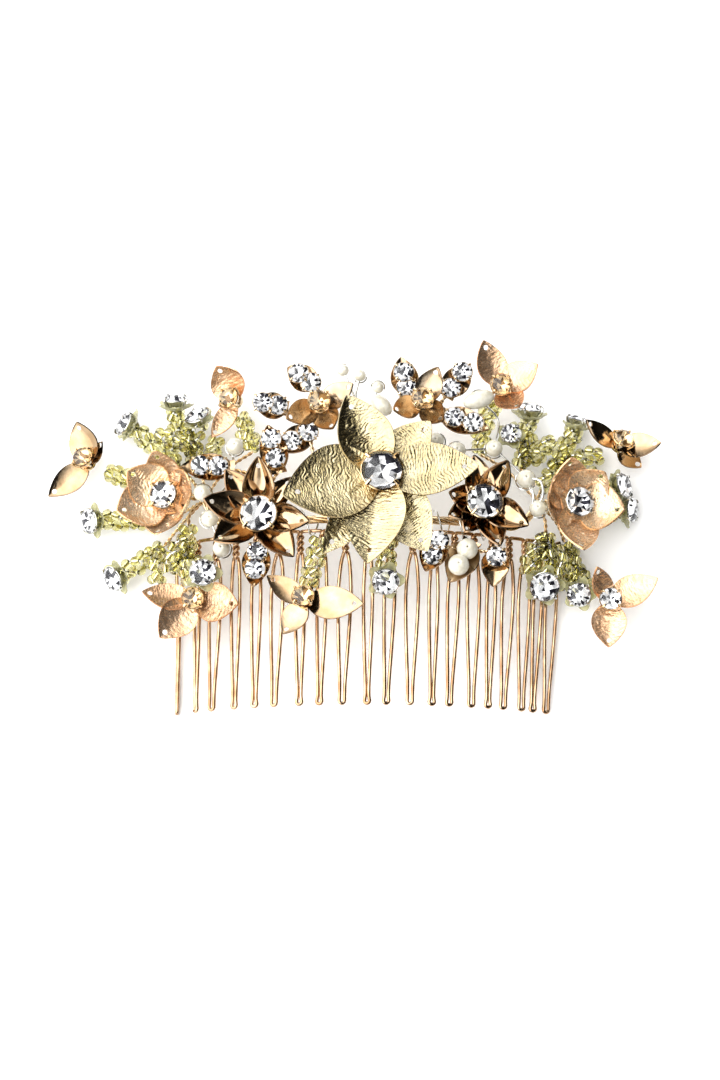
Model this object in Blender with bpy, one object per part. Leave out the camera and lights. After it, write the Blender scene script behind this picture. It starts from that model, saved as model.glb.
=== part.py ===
"""Decorative hair comb: a twenty-tooth wire comb that carries a wired spray of metal flowers,
navette leaves, crystals, pearls and seed-bead sprigs.

Frame: the comb lies on its back, flowers up. +X is along the row of teeth, the teeth point to -Y,
+Z is up and the origin is at the middle of the bounding box, at its lowest level.
Lengths below are millimetres until a mesh is stored, which is in metres.
"""

import math

import bpy
import bmesh
from mathutils import Vector

MM = 0.001
ORIGIN = Vector((-1.333, 4.151, -0.29))  # the middle of the finished comb's box, in spray coordinates

# Driving dimensions of the wire comb
TOOTH_COUNT = 20
TOOTH_PITCH = 4.17
TOOTH_LENGTH = 34.6
COMB_RADIUS = 70.0  # the comb is bent over the head, concave side down
COMB_CENTRE_X = 1.1
SPINE_Y = 1.8
SPINE_Z = 14.6
COMB_SLOPE = 0.092  # fall of a tooth towards its tip
WIRE_RADIUS = 0.4
NECK_LENGTH = 5.2
NECK_RADIUS = 0.5
TOOTH_SPREAD = 1.05  # half the widest distance between a tooth's two legs
STEM_RADIUS = 0.9
STEM_Y = 3.6
LASHING_RADIUS = 0.25
LEFT_ROOT = (-31.5, 9.5, 7.6)
RIGHT_ROOT = (35.4, 9.5, 7.2)

# Driving dimensions of the trimmings
SHEET = 0.5  # thickness of a stamped petal or leaf
GAP = 0.3
WELD = 0.002
SPRIG_RADIUS = 1.85
STEM_WIRE = 0.45
PEARL_WIRE = 0.35
HUB_THICKNESS = 0.8  # of the washer that joins a flower's petals
BIG_STONE = 3.9  # radii of the stones
LARGE_STONE = 3.5
TULIP_STONE = 2.8
SMALL_STONE = 2.1
LEAF_STONE = 1.9
SPRIG_STONE = 2.5
BIG_STONE_RISE = 2.7  # from a flower's hub to the middle of its stone
LARGE_STONE_RISE = 2.95
TULIP_STONE_RISE = 2.7
SMALL_STONE_RISE = 3.0
LEAF_WIDTH = 5.6
LEAF_SEAT = 0.9  # height of a stone above its leaf
PEARL_LIFT = 0.5  # how much higher a pearl sits than a stone

COLOURS = {
    "rose_gold": ((0.86, 0.63, 0.42), 0.25, 1.0),
    "olive_gold": ((0.74, 0.66, 0.34), 0.45, 1.0),
    "bright_gold": ((0.85, 0.60, 0.25), 0.18, 1.0),
    "peach_satin": ((0.90, 0.58, 0.36), 0.45, 0.6),
    "crystal": ((0.92, 0.94, 0.97), 0.03, 0.0),
    "champagne": ((0.72, 0.50, 0.36), 0.05, 0.0),
    "bead": ((0.66, 0.68, 0.28), 0.12, 0.0),
    "silver_wire": ((0.80, 0.79, 0.76), 0.2, 1.0),
    "pearl": ((0.93, 0.91, 0.84), 0.22, 0.0),
}


def comb_height(x, y):
    """Height of the comb's middle surface, a bent sheet that falls towards the tips."""
    across = x - COMB_CENTRE_X
    sagitta = COMB_RADIUS - math.sqrt(COMB_RADIUS ** 2 - across ** 2)
    return SPINE_Z - sagitta + COMB_SLOPE * (y - SPINE_Y)


# Mesh building: every helper returns a closed piece as (points, faces)

def side_frame(direction, facing):
    """Unit vectors across and out of a strip that runs along direction and faces facing."""
    along = direction.normalized()
    side = facing.cross(along)
    if side.length < 1e-3:
        side = Vector((1.0, 0.0, 0.0)).cross(along)
    side.normalize()
    return side, along.cross(side)


def petal(root, tip, width, arch, cup, facing=(0, 0, 1), rows=3, base=0.3):
    """A pointed leaf of sheet metal; arch lifts its middle, cup raises its two edges."""
    root = Vector(root)
    tip = Vector(tip)
    run = tip - root
    side, out = side_frame(run, Vector(facing))
    points = []
    for layer in (0.5, -0.5):
        for row in range(rows + 1):
            t = row / rows
            bulge = math.sin(math.pi * t ** 0.85)
            half = max(0.5 * width * bulge ** 0.8, 0.5 * width * base * (1 - t), 0.2)
            centre = root + run * t + out * (arch * 4 * t * (1 - t))
            for column in (-1, 0, 1):
                lift = cup * half * column * column + layer * SHEET
                points.append(centre + side * (half * column) + out * lift)
    span = 3 * (rows + 1)
    faces = []
    for row in range(rows):
        for column in range(2):
            a = row * 3 + column
            faces.append((a, a + 1, a + 4, a + 3))
            faces.append((span + a, span + a + 3, span + a + 4, span + a + 1))
    rim = [3 * row for row in range(rows + 1)] + [3 * rows + 1]
    rim += [3 * row + 2 for row in range(rows, -1, -1)] + [1]
    for here, there in zip(rim, rim[1:] + rim[:1]):
        faces.append((here, there, span + there, span + here))
    return points, faces


def tube(route, radius, sides=6):
    """A round wire along a route of points, closed at both ends."""
    path = [Vector(point) for point in route]
    facing = Vector((0.0, 0.0, 1.0))
    points = []
    for index, centre in enumerate(path):
        before = path[max(index - 1, 0)]
        after = path[min(index + 1, len(path) - 1)]
        side, facing = side_frame(after - before, facing)
        for step in range(sides):
            angle = 2 * math.pi * (step + 0.5) / sides
            points.append(centre + side * (radius * math.cos(angle)) + facing * (radius * math.sin(angle)))
    faces = [tuple(range(sides)), tuple(range(len(points) - sides, len(points)))]
    for index in range(len(path) - 1):
        for step in range(sides):
            a = index * sides + step
            b = index * sides + (step + 1) % sides
            faces.append((a, b, b + sides, a + sides))
    return points, faces


def turned(origin, axis, profile, sides=8):
    """A turned solid: profile lists (radius, height) from its lowest pole to its highest."""
    origin = Vector(origin)
    up = Vector(axis).normalized()
    side, out = side_frame(up, Vector((0.0, 1.0, 0.2)))
    points = []
    rings = []
    for radius, height in profile:
        first = len(points)
        if radius == 0:
            points.append(origin + up * height)
            rings.append([first] * sides)
            continue
        for step in range(sides):
            angle = 2 * math.pi * step / sides
            offset = side * math.cos(angle) + out * math.sin(angle)
            points.append(origin + up * height + offset * radius)
        rings.append(list(range(first, first + sides)))
    faces = []
    for low, high in zip(rings, rings[1:]):
        for step in range(sides):
            corner = [low[step], low[(step + 1) % sides], high[(step + 1) % sides], high[step]]
            face = tuple(dict.fromkeys(corner))
            if len(face) > 2:
                faces.append(face)
    return points, faces


def ball(centre, radius, stretch=1.0, axis=(0, 0, 1)):
    """A pearl or a bead; stretch makes it a drop along axis."""
    rings = 4
    profile = []
    for ring in range(rings + 1):
        angle = math.pi * ring / rings
        profile.append((radius * math.sin(angle), -radius * stretch * math.cos(angle)))
    profile[0] = (0, profile[0][1])
    profile[-1] = (0, profile[-1][1])
    return turned(centre, axis, profile, 6)


def stone(centre, radius, axis, sides=6):
    """A round cut stone in its close cup, both as one turned solid around centre."""
    profile = [(0, -0.75 * radius), (0.7 * radius, -0.75 * radius), (1.05 * radius, 0.1 * radius),
               (0.62 * radius, 0.5 * radius), (0, 0.5 * radius)]
    return turned(centre, axis, profile, sides)


def setting(centre, radius, axis):
    """An open cup whose rim holds a large stone."""
    wall = radius + 0.75
    profile = [(0, -1.5), (0.6 * radius, -1.5), (wall, -0.2), (wall, 0.5), (radius + 0.3, 0.5),
               (radius + 0.3, -0.1), (0.5 * radius, -1.0), (0, -1.0)]
    return turned(centre, axis, profile, 12)


def large_crystal(centre, radius, axis):
    """The large stone alone, its girdle inside the setting's rim and its point above the floor."""
    profile = [(0, -0.65), (0.45 * radius, -0.65), (radius, 0.35), (0.62 * radius, 1.6), (0, 1.6)]
    return turned(centre, axis, profile, 10)


def between(start, end, share):
    return Vector(start).lerp(Vector(end), share)


# Turning pieces into objects

def mesh_object(name, piece):
    points, faces = piece
    mesh = bpy.data.meshes.new(name)
    mesh.from_pydata([tuple(point) for point in points], [], faces)
    shell = bmesh.new()
    shell.from_mesh(mesh)
    bmesh.ops.recalc_face_normals(shell, faces=shell.faces)
    shell.to_mesh(mesh)
    shell.free()
    thing = bpy.data.objects.new(name, mesh)
    bpy.context.scene.collection.objects.link(thing)
    return thing


def union_of(name, pieces):
    """One object that is the Boolean union of overlapping pieces."""
    whole = mesh_object(name, pieces[0])
    for piece in pieces[1:]:
        tool = mesh_object("union_tool", piece)
        join = whole.modifiers.new("join", "BOOLEAN")
        join.operation = "UNION"
        join.solver = "EXACT"
        join.object = tool
        shape = whole.evaluated_get(bpy.context.evaluated_depsgraph_get())
        joined = bpy.data.meshes.new_from_object(shape)
        whole.modifiers.remove(join)
        whole.data = joined
        bpy.data.objects.remove(tool)
    keep_outer_shell(whole.data)
    return whole


def keep_outer_shell(mesh):
    """Weld the seams and drop the small closed pockets that crossing sheets leave inside."""
    shell = bmesh.new()
    shell.from_mesh(mesh)
    bmesh.ops.remove_doubles(shell, verts=shell.verts, dist=WELD)
    unseen = set(shell.verts)
    largest = set()
    while unseen:
        island = {unseen.pop()}
        frontier = list(island)
        while frontier:
            vertex = frontier.pop()
            for edge in vertex.link_edges:
                neighbour = edge.other_vert(vertex)
                if neighbour in unseen:
                    unseen.discard(neighbour)
                    island.add(neighbour)
                    frontier.append(neighbour)
        if len(island) > len(largest):
            largest = island
    inner = [vertex for vertex in shell.verts if vertex not in largest]
    bmesh.ops.delete(shell, geom=inner, context="VERTS")
    shell.to_mesh(mesh)
    shell.free()


def material(slot):
    colour, roughness, metallic = COLOURS[slot]
    surface = bpy.data.materials.new(slot)
    surface.use_nodes = True
    shader = surface.node_tree.nodes["Principled BSDF"]
    shader.inputs["Base Color"].default_value = (*colour, 1.0)
    shader.inputs["Roughness"].default_value = roughness
    shader.inputs["Metallic"].default_value = metallic
    return surface


def part(name, slot, *pieces):
    """Store the union of the pieces as one named sub-part with its own material, in metres."""
    thing = union_of(name, pieces)
    thing.data.name = name
    for vertex in thing.data.vertices:
        vertex.co = (vertex.co - ORIGIN) * MM
    thing.data.materials.clear()
    thing.data.materials.append(material(slot))
    thing.data.shade_smooth()
    thing.data.set_sharp_from_angle(angle=math.radians(35))
    return thing


# The comb

def tooth_x(index):
    """Place of a tooth's neck: even steps round the bend, pushed along a little by the lashing."""
    step = (index - (TOOTH_COUNT - 1) / 2) * TOOTH_PITCH
    pushed = 3.0 * math.sin(math.pi * (index / (TOOTH_COUNT - 1)) ** 1.6)
    return COMB_CENTRE_X + COMB_RADIUS * math.sin(step / COMB_RADIUS) + pushed


def tooth_lean(index):
    """Sideways shift of a tooth's tip, which grows along the row."""
    share = index / (TOOTH_COUNT - 1)
    return -0.3 - 1.5 * share * share + 0.35 * math.sin(2.3 * index)


def on_comb(x, y, rise=0.0):
    return Vector((x, y, comb_height(x, y) + rise))


def tooth_route(index):
    """The wire down one leg of a tooth and up the other, through its twisted neck."""
    x = tooth_x(index)
    lean = tooth_lean(index)
    neck_end = SPINE_Y - NECK_LENGTH
    tip_y = SPINE_Y - TOOTH_LENGTH
    down = []
    neck_steps = 5
    for step in range(neck_steps + 1):
        share = step / neck_steps
        angle = math.pi + 2 * math.pi * share
        y = SPINE_Y - 0.6 - (NECK_LENGTH - 0.6) * share
        down.append((math.cos(angle) * NECK_RADIUS, y, math.sin(angle) * NECK_RADIUS))
    for share, width in ((0.25, 1.0), (0.6, 0.8), (0.96, 0.5)):
        y = neck_end + (tip_y - neck_end) * share
        down.append((-TOOTH_SPREAD * width, y, 0.0))
    up = [(-offset, y, -rise) for offset, y, rise in reversed(down)]
    turn = [(0.0, tip_y, 0.0)]
    route = []
    for offset, y, rise in down + turn + up:
        shift = lean * max(0.0, (neck_end - y) / (neck_end - tip_y))
        route.append(on_comb(x + offset + shift, y, rise))
    return route


def make_comb():
    route = [on_comb(tooth_x(0) - 1.6, SPINE_Y)]
    for index in range(TOOTH_COUNT):
        route += tooth_route(index)
    route.append(on_comb(tooth_x(TOOTH_COUNT - 1) + 1.6, SPINE_Y))
    part("comb_wire", "rose_gold", tube(route, WIRE_RADIUS, 5))


def branch(route):
    """A wire of the stem that runs up to just short of a bead sprig's first bead."""
    return tube(route, STEM_WIRE, 5)


def make_stem():
    """The bundle of stem wires beside the spine, which fans out into branches at each end."""
    trunk = [LEFT_ROOT, (-29.5, 6.0, 7.6)]
    for step in range(9):
        trunk.append(on_comb(-26.0 + 7.0 * step, STEM_Y))
    trunk += [(33.8, 6.0, 7.6), RIGHT_ROOT]
    part("spray_stem", "bright_gold",
         tube(trunk, STEM_RADIUS, 8),
         branch([LEFT_ROOT, (-34.2, 11.4, 5.0), (-37.0, 13.4, 3.3)]),
         branch([LEFT_ROOT, (-34.6, 8.4, 4.6), (-37.0, 7.7, 3.3)]),
         branch([LEFT_ROOT, (-34.0, 14.0, 5.0), (-37.2, 17.6, 4.1)]),
         branch([LEFT_ROOT, (-31.7, 12.2, 6.8), (-31.9, 14.9, 6.3)]),
         branch([LEFT_ROOT, (-27.4, 15.4, 8.0), (-21.8, 19.1, 9.1)]),
         branch([LEFT_ROOT, (-36.4, 4.6, 5.6), (-39.8, 0.9, 3.4)]),
         branch([LEFT_ROOT, (-34.2, 6.6, 8.2), (-34.5, 3.9, 8.6)]),
         branch([RIGHT_ROOT, (36.8, 5.4, 8.0), (37.0, 2.5, 8.2)]),
         branch([RIGHT_ROOT, (39.4, 5.2, 5.6), (41.0, 1.5, 4.5)]),
         branch([RIGHT_ROOT, (33.2, 13.2, 7.2), (32.3, 16.3, 7.4)]),
         branch([RIGHT_ROOT, (29.4, 15.4, 8.0), (24.2, 18.7, 8.5)]),
         branch([RIGHT_ROOT, (36.0, 11.0, 6.4), (36.5, 12.2, 5.7)]),
         branch([RIGHT_ROOT, (38.6, 8.8, 5.4), (41.3, 8.8, 4.1)]))


def make_lashing():
    """Fine wire wound round spine and stem, one turn between each two teeth."""
    turn_steps = 6
    middle_y = (SPINE_Y + STEM_Y + STEM_RADIUS - WIRE_RADIUS) / 2
    reach_y = 2.6
    reach_z = 2.0
    first = 3
    last = TOOTH_COUNT - 4
    route = []
    for step in range((last - first) * turn_steps + 1):
        turns = step / turn_steps
        low = int(min(first + turns, last - 1))
        share = first + turns - low
        x = tooth_x(low) * (1 - share) + tooth_x(low + 1) * share
        angle = 2 * math.pi * turns
        y = middle_y + reach_y * math.cos(angle)
        route.append(on_comb(x, y, reach_z * math.sin(angle)))
    part("spine_lashing", "silver_wire", tube(route, LASHING_RADIUS, 4))


# Flowers

def hub_disc(centre, axis, radius):
    """The washer that joins a flower's petals."""
    half = HUB_THICKNESS / 2
    return turned(centre, axis, [(0, -half), (radius, -half), (radius, half), (0, half)], 6)


def drop_wire(hub):
    """A stem wire from a flower's hub down to just above the lashed stem."""
    hub = Vector(hub)
    foot = on_comb(hub.x, STEM_Y, reach_above_stem())
    return tube([hub, between(hub, foot, 0.5), foot], STEM_WIRE)


def reach_above_stem():
    return STEM_RADIUS + 2 * LASHING_RADIUS + 3 * GAP


def make_big_flower():
    """The olive-gold flower: four petals in front of three, and a large crystal in a claw cup."""
    axis = (0.05, 0.05, 1.0)
    hub = Vector((4.1, 11.2, 20.3))
    back = Vector((4.1, 11.2, 18.6))
    part("big_flower_back_petals", "olive_gold",
         hub_disc(back, axis, 3.2),
         petal(back, (13.7, 21.9, 20.4), 9.5, -0.6, 0.20, (-0.16, 0.0, 1.0), rows=4),
         petal(back, (13.0, -4.0, 18.2), 11.0, -0.2, 0.12, (-0.18, 0.0, 1.0), rows=4),
         petal(back, (-7.4, -4.6, 18.7), 8.0, -0.1, 0.12, (0.2, 0.0, 1.0), rows=4),
         drop_wire(back))
    part("big_flower_front_petals", "olive_gold",
         hub_disc(hub, axis, 3.2),
         petal(hub, (-2.9, 26.3, 23.5), 10.8, -0.6, 0.30, rows=4),
         petal(hub, (-15.2, 6.3, 22.2), 15.0, -0.4, 0.22, rows=4),
         petal(hub, (1.2, -7.3, 21.4), 12.3, -0.3, 0.15, (-0.15, 0.0, 1.0), rows=4),
         petal(hub, (23.0, 12.0, 23.2), 10.5, -0.4, 0.20, (0.0, -0.09, 1.0), rows=4))
    centre = hub + Vector((0, 0, BIG_STONE_RISE))
    part("big_flower_setting", "bright_gold", setting(centre, BIG_STONE, axis))
    part("big_flower_crystal", "crystal", large_crystal(centre, BIG_STONE, axis))


def make_gold_flower(name, hub, axis, tips):
    """A polished flower: cupped pointed petals round a large crystal."""
    hub = Vector(hub)
    up = Vector(axis).normalized()
    pieces = [hub_disc(hub, up, 2.8)]
    for tip, width, cup in tips:
        pieces.append(petal(hub, tip, width, -0.7, cup, up))
    pieces.append(drop_wire(hub))
    part(name + "_petals", "bright_gold", *pieces)
    centre = hub + up * LARGE_STONE_RISE
    part(name + "_setting", "bright_gold", setting(centre, LARGE_STONE, up))
    part(name + "_crystal", "crystal", large_crystal(centre, LARGE_STONE, up))


def make_gold_flowers():
    make_gold_flower("left_gold_flower", (-20.0, 3.9, 14.9), (-0.05, 0.0, 1.0), (
        ((-10.2, 2.4, 17.0), 6.0, 0.35), ((-13.2, -4.6, 16.4), 6.5, 0.35),
        ((-29.0, -1.2, 15.8), 7.0, 0.35), ((-31.0, 7.0, 17.2), 6.6, 0.35),
        ((-26.8, 13.2, 16.6), 6.0, 0.35), ((-20.3, 15.6, 17.4), 6.4, 0.35),
        ((-13.6, 11.8, 15.8), 5.0, 0.35)))
    make_gold_flower("right_gold_flower", (24.0, 6.4, 13.9), (0.15, 0.1, 1.0), (
        ((22.4, 16.0, 17.0), 6.0, 0.40), ((29.1, 15.0, 16.6), 6.0, 0.40),
        ((33.0, 2.0, 15.4), 6.6, 0.35), ((27.3, -2.4, 16.2), 6.0, 0.30),
        ((20.4, 0.6, 15.8), 5.4, 0.45), ((17.2, 3.6, 17.0), 5.2, 0.40), ((17.4, 8.6, 16.2), 6.0, 0.30)))


def make_tulip(name, hub, axis, foot, tips):
    """A satin flower with deep petals that close round its crystal, on a wire from foot."""
    hub = Vector(hub)
    up = Vector(axis).normalized()
    pieces = [hub_disc(hub, up, 2.4), tube([hub, foot], STEM_WIRE, 5)]
    for tip, width, arch in tips:
        pieces.append(petal(hub, tip, width, arch, 0.28, up, rows=4, base=0.5))
    part(name + "_petals", "peach_satin", *pieces)
    centre = hub + up * TULIP_STONE_RISE
    part(name + "_setting", "bright_gold", setting(centre, TULIP_STONE, up))
    part(name + "_crystal", "crystal", large_crystal(centre, TULIP_STONE, up))


def make_tulips():
    make_tulip("left_tulip", (-38.8, 9.8, 8.6), (-0.35, -0.05, 1.0), (-33.0, 9.6, 7.8), (
        ((-48.7, 6.2, 11.0), 10.5, -1.4), ((-46.8, 14.4, 11.6), 9.0, -1.5),
        ((-41.5, 18.4, 12.2), 8.0, -1.9), ((-34.6, 12.6, 14.4), 7.5, -2.4),
        ((-41.0, 1.2, 11.4), 9.0, -1.7), ((-34.8, 6.6, 13.8), 7.5, -2.4)))
    make_tulip("right_tulip", (43.0, 8.4, 8.4), (0.35, -0.05, 1.0), (37.0, 9.3, 7.5), (
        ((42.0, 16.6, 13.4), 8.5, -2.2), ((48.8, 14.0, 11.8), 9.0, -1.8),
        ((52.6, 6.6, 10.6), 10.0, -1.4), ((44.2, -2.0, 11.8), 9.0, -1.8),
        ((37.2, 6.0, 14.4), 8.5, -2.4), ((38.4, 12.4, 14.4), 7.5, -2.4)))


THREE_PETAL_FLOWERS = (
    # name, material, hub, facing, stone, (tip, width, arch, lean of its face in x and y) of each petal
    ("far_left_flower", "bright_gold", (-55.4, 17.9, 4.8), (-0.35, 0.25, 0.9), "champagne",
     (((-57.8, 26.0, 7.4), 7.0, -0.8, -0.6, -0.05), ((-63.4, 11.2, 4.2), 5.5, -0.6, 0.1, 0.0),
      ((-52.4, 21.6, 8.0), 3.6, -0.5, -0.35, 0.25))),
    ("top_left_flower", "peach_satin", (-25.4, 30.0, 8.6), (-0.5, 0.0, 0.85), "champagne",
     (((-29.2, 36.2, 12.4), 7.4, -1.0, -0.5, -0.1), ((-27.5, 38.8, 6.0), 5.0, -1.0, -0.5, 0.2),
      ((-30.2, 22.4, 8.4), 4.2, -0.6, -0.1, -0.1))),
    ("bottom_left_flower", "peach_satin", (-33.2, -11.6, 8.6), (0.0, -0.05, 1.0), "champagne",
     (((-43.4, -9.8, 9.0), 6.0, -0.6, 0.15, 0.3), ((-39.7, -19.2, 8.8), 7.6, -0.5, 0.15, -0.2),
      ((-24.2, -13.0, 11.6), 8.0, -0.6, -0.4, 0.0))),
    ("bottom_gold_flower", "bright_gold", (-11.0, -13.4, 15.4), (-0.1, 0.2, 1.0), "champagne",
     (((-18.4, -8.2, 15.4), 4.6, -0.5, -0.2, 0.1), ((-15.2, -19.8, 15.2), 5.4, -0.5, -0.35, 0.0),
      ((0.4, -14.6, 18.6), 6.6, -0.6, -0.4, 0.0))),
    ("top_left_rose_flower", "rose_gold", (-8.4, 27.4, 13.6), (0.0, 0.1, 1.0), "champagne",
     (((-14.9, 23.8, 16.4), 5.4, -0.7, 0.2, -0.1), ((-5.6, 22.0, 15.4), 5.6, -0.7, -0.3, 0.1),
      ((-1.6, 31.0, 16.8), 5.4, -0.7, 0.2, 0.2))),
    ("top_right_rose_flower", "rose_gold", (12.0, 27.6, 14.4), (0.1, 0.1, 1.0), "champagne",
     (((6.4, 25.6, 16.6), 5.0, -0.7, 0.1, 0.0), ((16.4, 23.4, 16.2), 5.2, -0.7, -0.3, 0.0),
      ((15.4, 34.2, 17.6), 5.4, -0.8, 0.1, 0.2))),
    ("top_right_flower", "peach_satin", (28.2, 32.0, 11.4), (0.0, -0.1, 1.0), "champagne",
     (((24.8, 41.4, 13.4), 6.4, -0.8, 0.1, 0.1), ((35.6, 36.2, 13.8), 7.0, -0.6, -0.5, 0.0),
      ((31.6, 26.6, 15.0), 6.2, -0.9, -0.1, 0.2))),
    ("far_right_flower", "bright_gold", (52.4, 21.4, 5.2), (0.3, 0.35, 0.85), "champagne",
     (((45.6, 26.0, 8.8), 4.2, -0.7, 0.2, 0.1), ((60.8, 21.6, 7.4), 5.6, -0.5, -0.4, 0.2),
      ((57.2, 17.6, 3.4), 4.4, -0.7, 0.3, -0.2))),
    ("bottom_right_flower", "peach_satin", (49.4, -11.4, 7.0), (0.0, -0.05, 1.0), "crystal",
     (((46.8, -5.2, 10.6), 4.6, -0.8, 0.2, 0.1), ((59.0, -7.0, 8.8), 6.6, -0.6, -0.2, 0.1),
      ((49.0, -20.8, 7.6), 7.0, -0.6, -0.1, 0.1))),
)


def make_three_petal_flowers():
    for name, slot, hub, facing, gem, tips in THREE_PETAL_FLOWERS:
        hub = Vector(hub)
        up = Vector(facing).normalized()
        pieces = [hub_disc(hub, up, 1.5)]
        for tip, width, arch, lean_x, lean_y in tips:
            pieces.append(petal(hub, tip, width, arch, 0.2, (lean_x, lean_y, 1.0), base=0.4))
        part(name + "_petals", slot, *pieces)
        part(name + "_stone", gem, stone(hub + up * SMALL_STONE_RISE, SMALL_STONE, up))


# Leaves, pearls and bead sprigs

def leaf(base, tip, gems, width=LEAF_WIDTH, gem_radius=LEAF_STONE, round_gems=False):
    """A navette leaf with stones or pearls set in a row along it; gems are shares of its length."""
    base = Vector(base)
    tip = Vector(tip)
    pieces = [petal(base, tip, width, -0.3, 0.25, base=0.6)]
    for share in gems:
        seat = between(base, tip, share) + Vector((0, 0, LEAF_SEAT))
        if round_gems:
            pieces.append(ball(seat + Vector((0, 0, PEARL_LIFT)), gem_radius))
        else:
            pieces.append(stone(seat, gem_radius, (0, 0, 1)))
    return pieces


def make_leaves():
    """The leaves hang on wires that are led down to the lashed stem."""
    part("leaves_left", "bright_gold",
         *leaf((-25.2, 14.6, 12.6), (-36.0, 14.9, 12.8), (0.30, 0.62)),
         *leaf((-16.4, 13.6, 12.2), (-18.6, 23.0, 14.6), (0.28, 0.68)),
         tube([(-16.2, 14.6, 12.2), (-18.4, 11.8, 12.0), (-22.0, 13.4, 12.2), (-26.6, 14.7, 12.4)],
              STEM_WIRE))
    part("leaf_low_left", "bright_gold",
         *leaf((-20.2, -1.2, 13.2), (-21.1, -10.2, 14.4), (0.22, 0.62)),
         tube([(-20.3, -2.0, 13.1), (-20.0, 1.2, 13.5)], STEM_WIRE))
    part("leaves_top_left", "rose_gold",
         *leaf((-8.9, 31.3, 12.8), (-14.8, 35.6, 13.6), (0.2, 0.62)),
         *leaf((-14.6, 27.0, 12.6), (-21.6, 28.0, 13.8), (0.3, 0.72)),
         *leaf((-9.4, 22.8, 12.0), (-16.8, 18.4, 12.0), (0.16, 0.6)),
         tube([(-10.6, 22.2, 11.9), (-11.4, 25.0, 11.6), (-15.6, 27.1, 12.5)], STEM_WIRE),
         tube([(-11.4, 24.6, 11.6), (-10.2, 28.0, 11.6), (-9.8, 32.2, 12.8)], STEM_WIRE),
         tube([(-11.0, 24.8, 11.6), (-9.2, 16.0, 13.4), (-8.0, 9.0, 14.6)], STEM_WIRE))
    part("leaves_top_right", "rose_gold",
         *leaf((9.4, 29.6, 12.9), (8.0, 37.6, 14.0), (0.18, 0.56)),
         *leaf((17.0, 29.4, 13.0), (21.8, 36.2, 13.8), (0.22, 0.7)),
         *leaf((15.8, 26.0, 12.2), (25.6, 22.6, 13.2), (0.3, 0.68)),
         tube([(9.2, 30.8, 12.9), (12.6, 27.0, 12.0), (17.2, 25.6, 12.3)], STEM_WIRE),
         tube([(14.8, 26.4, 12.1), (15.8, 28.0, 12.2), (17.8, 30.8, 13.0)], STEM_WIRE),
         tube([(12.6, 27.0, 12.0), (11.6, 17.0, 13.6), (10.4, 9.0, 14.2)], STEM_WIRE))
    part("leaves_bottom_right", "bright_gold",
         *leaf((15.6, -0.4, 15.2), (12.6, -7.4, 15.8), (0.14, 0.56)),
         *leaf((22.0, -0.6, 13.4), (17.4, -9.2, 14.0), (0.24, 0.62), 6.6, 2.1, True),
         *leaf((26.9, -1.8, 12.2), (26.0, -9.8, 12.8), (0.26,)),
         tube([(15.2, -1.4, 15.0), (18.0, -2.2, 13.9), (21.4, -1.8, 13.3)], STEM_WIRE),
         tube([(21.0, -2.4, 13.3), (24.0, -2.6, 12.7), (27.0, -2.8, 12.1)], STEM_WIRE))


def pearl_wire(points, radius, stretch=1.0, axis=(0, 0, 1)):
    """A pearl threaded on the end of a wire."""
    return [tube(points, PEARL_WIRE, 5), ball(points[-1], radius, stretch, axis)]


def make_pearls():
    part("pearls_left", "pearl",
         *pearl_wire([(-29.0, 8.8, 11.0), (-31.6, 9.4, 12.6)], 1.7),
         *pearl_wire([(-29.0, 8.8, 11.0), (-30.0, 4.2, 12.2)], 1.7),
         *pearl_wire([(-30.0, 4.2, 12.2), (-27.6, -2.0, 12.8)], 1.7),
         *pearl_wire([(-29.0, 8.8, 11.0), (-26.6, 12.6, 9.6), (-25.2, 19.2, 12.6)], 1.7))
    part("pearls_top", "pearl",
         *pearl_wire([(1.2, 24.0, 13.6), (-1.0, 28.6, 13.2), (-0.2, 33.8, 13.6)], 1.2),
         *pearl_wire([(-1.0, 28.6, 13.2), (-3.6, 35.2, 12.8)], 1.2),
         *pearl_wire([(1.2, 24.0, 13.6), (4.0, 27.4, 14.0)], 1.7, 1.6, (1, -1, 0.2)),
         *pearl_wire([(1.2, 24.0, 13.6), (3.4, 31.4, 13.2)], 1.2),
         tube([(1.2, 24.4, 13.6), (2.6, 15.0, 14.6)], STEM_WIRE))
    part("pearls_right", "pearl",
         *pearl_wire([(16.6, 14.0, 13.4), (14.8, 19.4, 15.4)], 1.7),
         *pearl_wire([(16.6, 14.0, 13.4), (19.2, 17.8, 14.2)], 1.7),
         *pearl_wire([(19.2, 17.8, 14.2), (26.6, 18.6, 13.0)], 1.7),
         *pearl_wire([(26.6, 18.6, 13.0), (27.6, 25.4, 10.6), (23.6, 28.4, 14.4)], 1.8, 1.8, (1, 0.3, 0)),
         *pearl_wire([(26.6, 18.6, 13.0), (33.0, 12.6, 11.8)], 1.9),
         *pearl_wire([(33.0, 12.6, 11.8), (35.1, 6.4, 12.2)], 1.7))


def sprig(route):
    """The outline of a twisted bunch of seed-bead strands."""
    return tube(route, SPRIG_RADIUS, 6)


def crystal_sprig(route, axis, radius=SPRIG_STONE):
    """A sprig that ends in a crystal on its flower-shaped sequin."""
    end = Vector(route[-1])
    up = Vector(axis).normalized()
    calyx = turned(end, up, [(0, -0.4), (1.45 * radius, -0.1), (1.45 * radius, 0.3), (0, 0.3)], 6)
    return [sprig(route), calyx, stone(end + up * (0.8 * radius), radius, up)]


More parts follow.
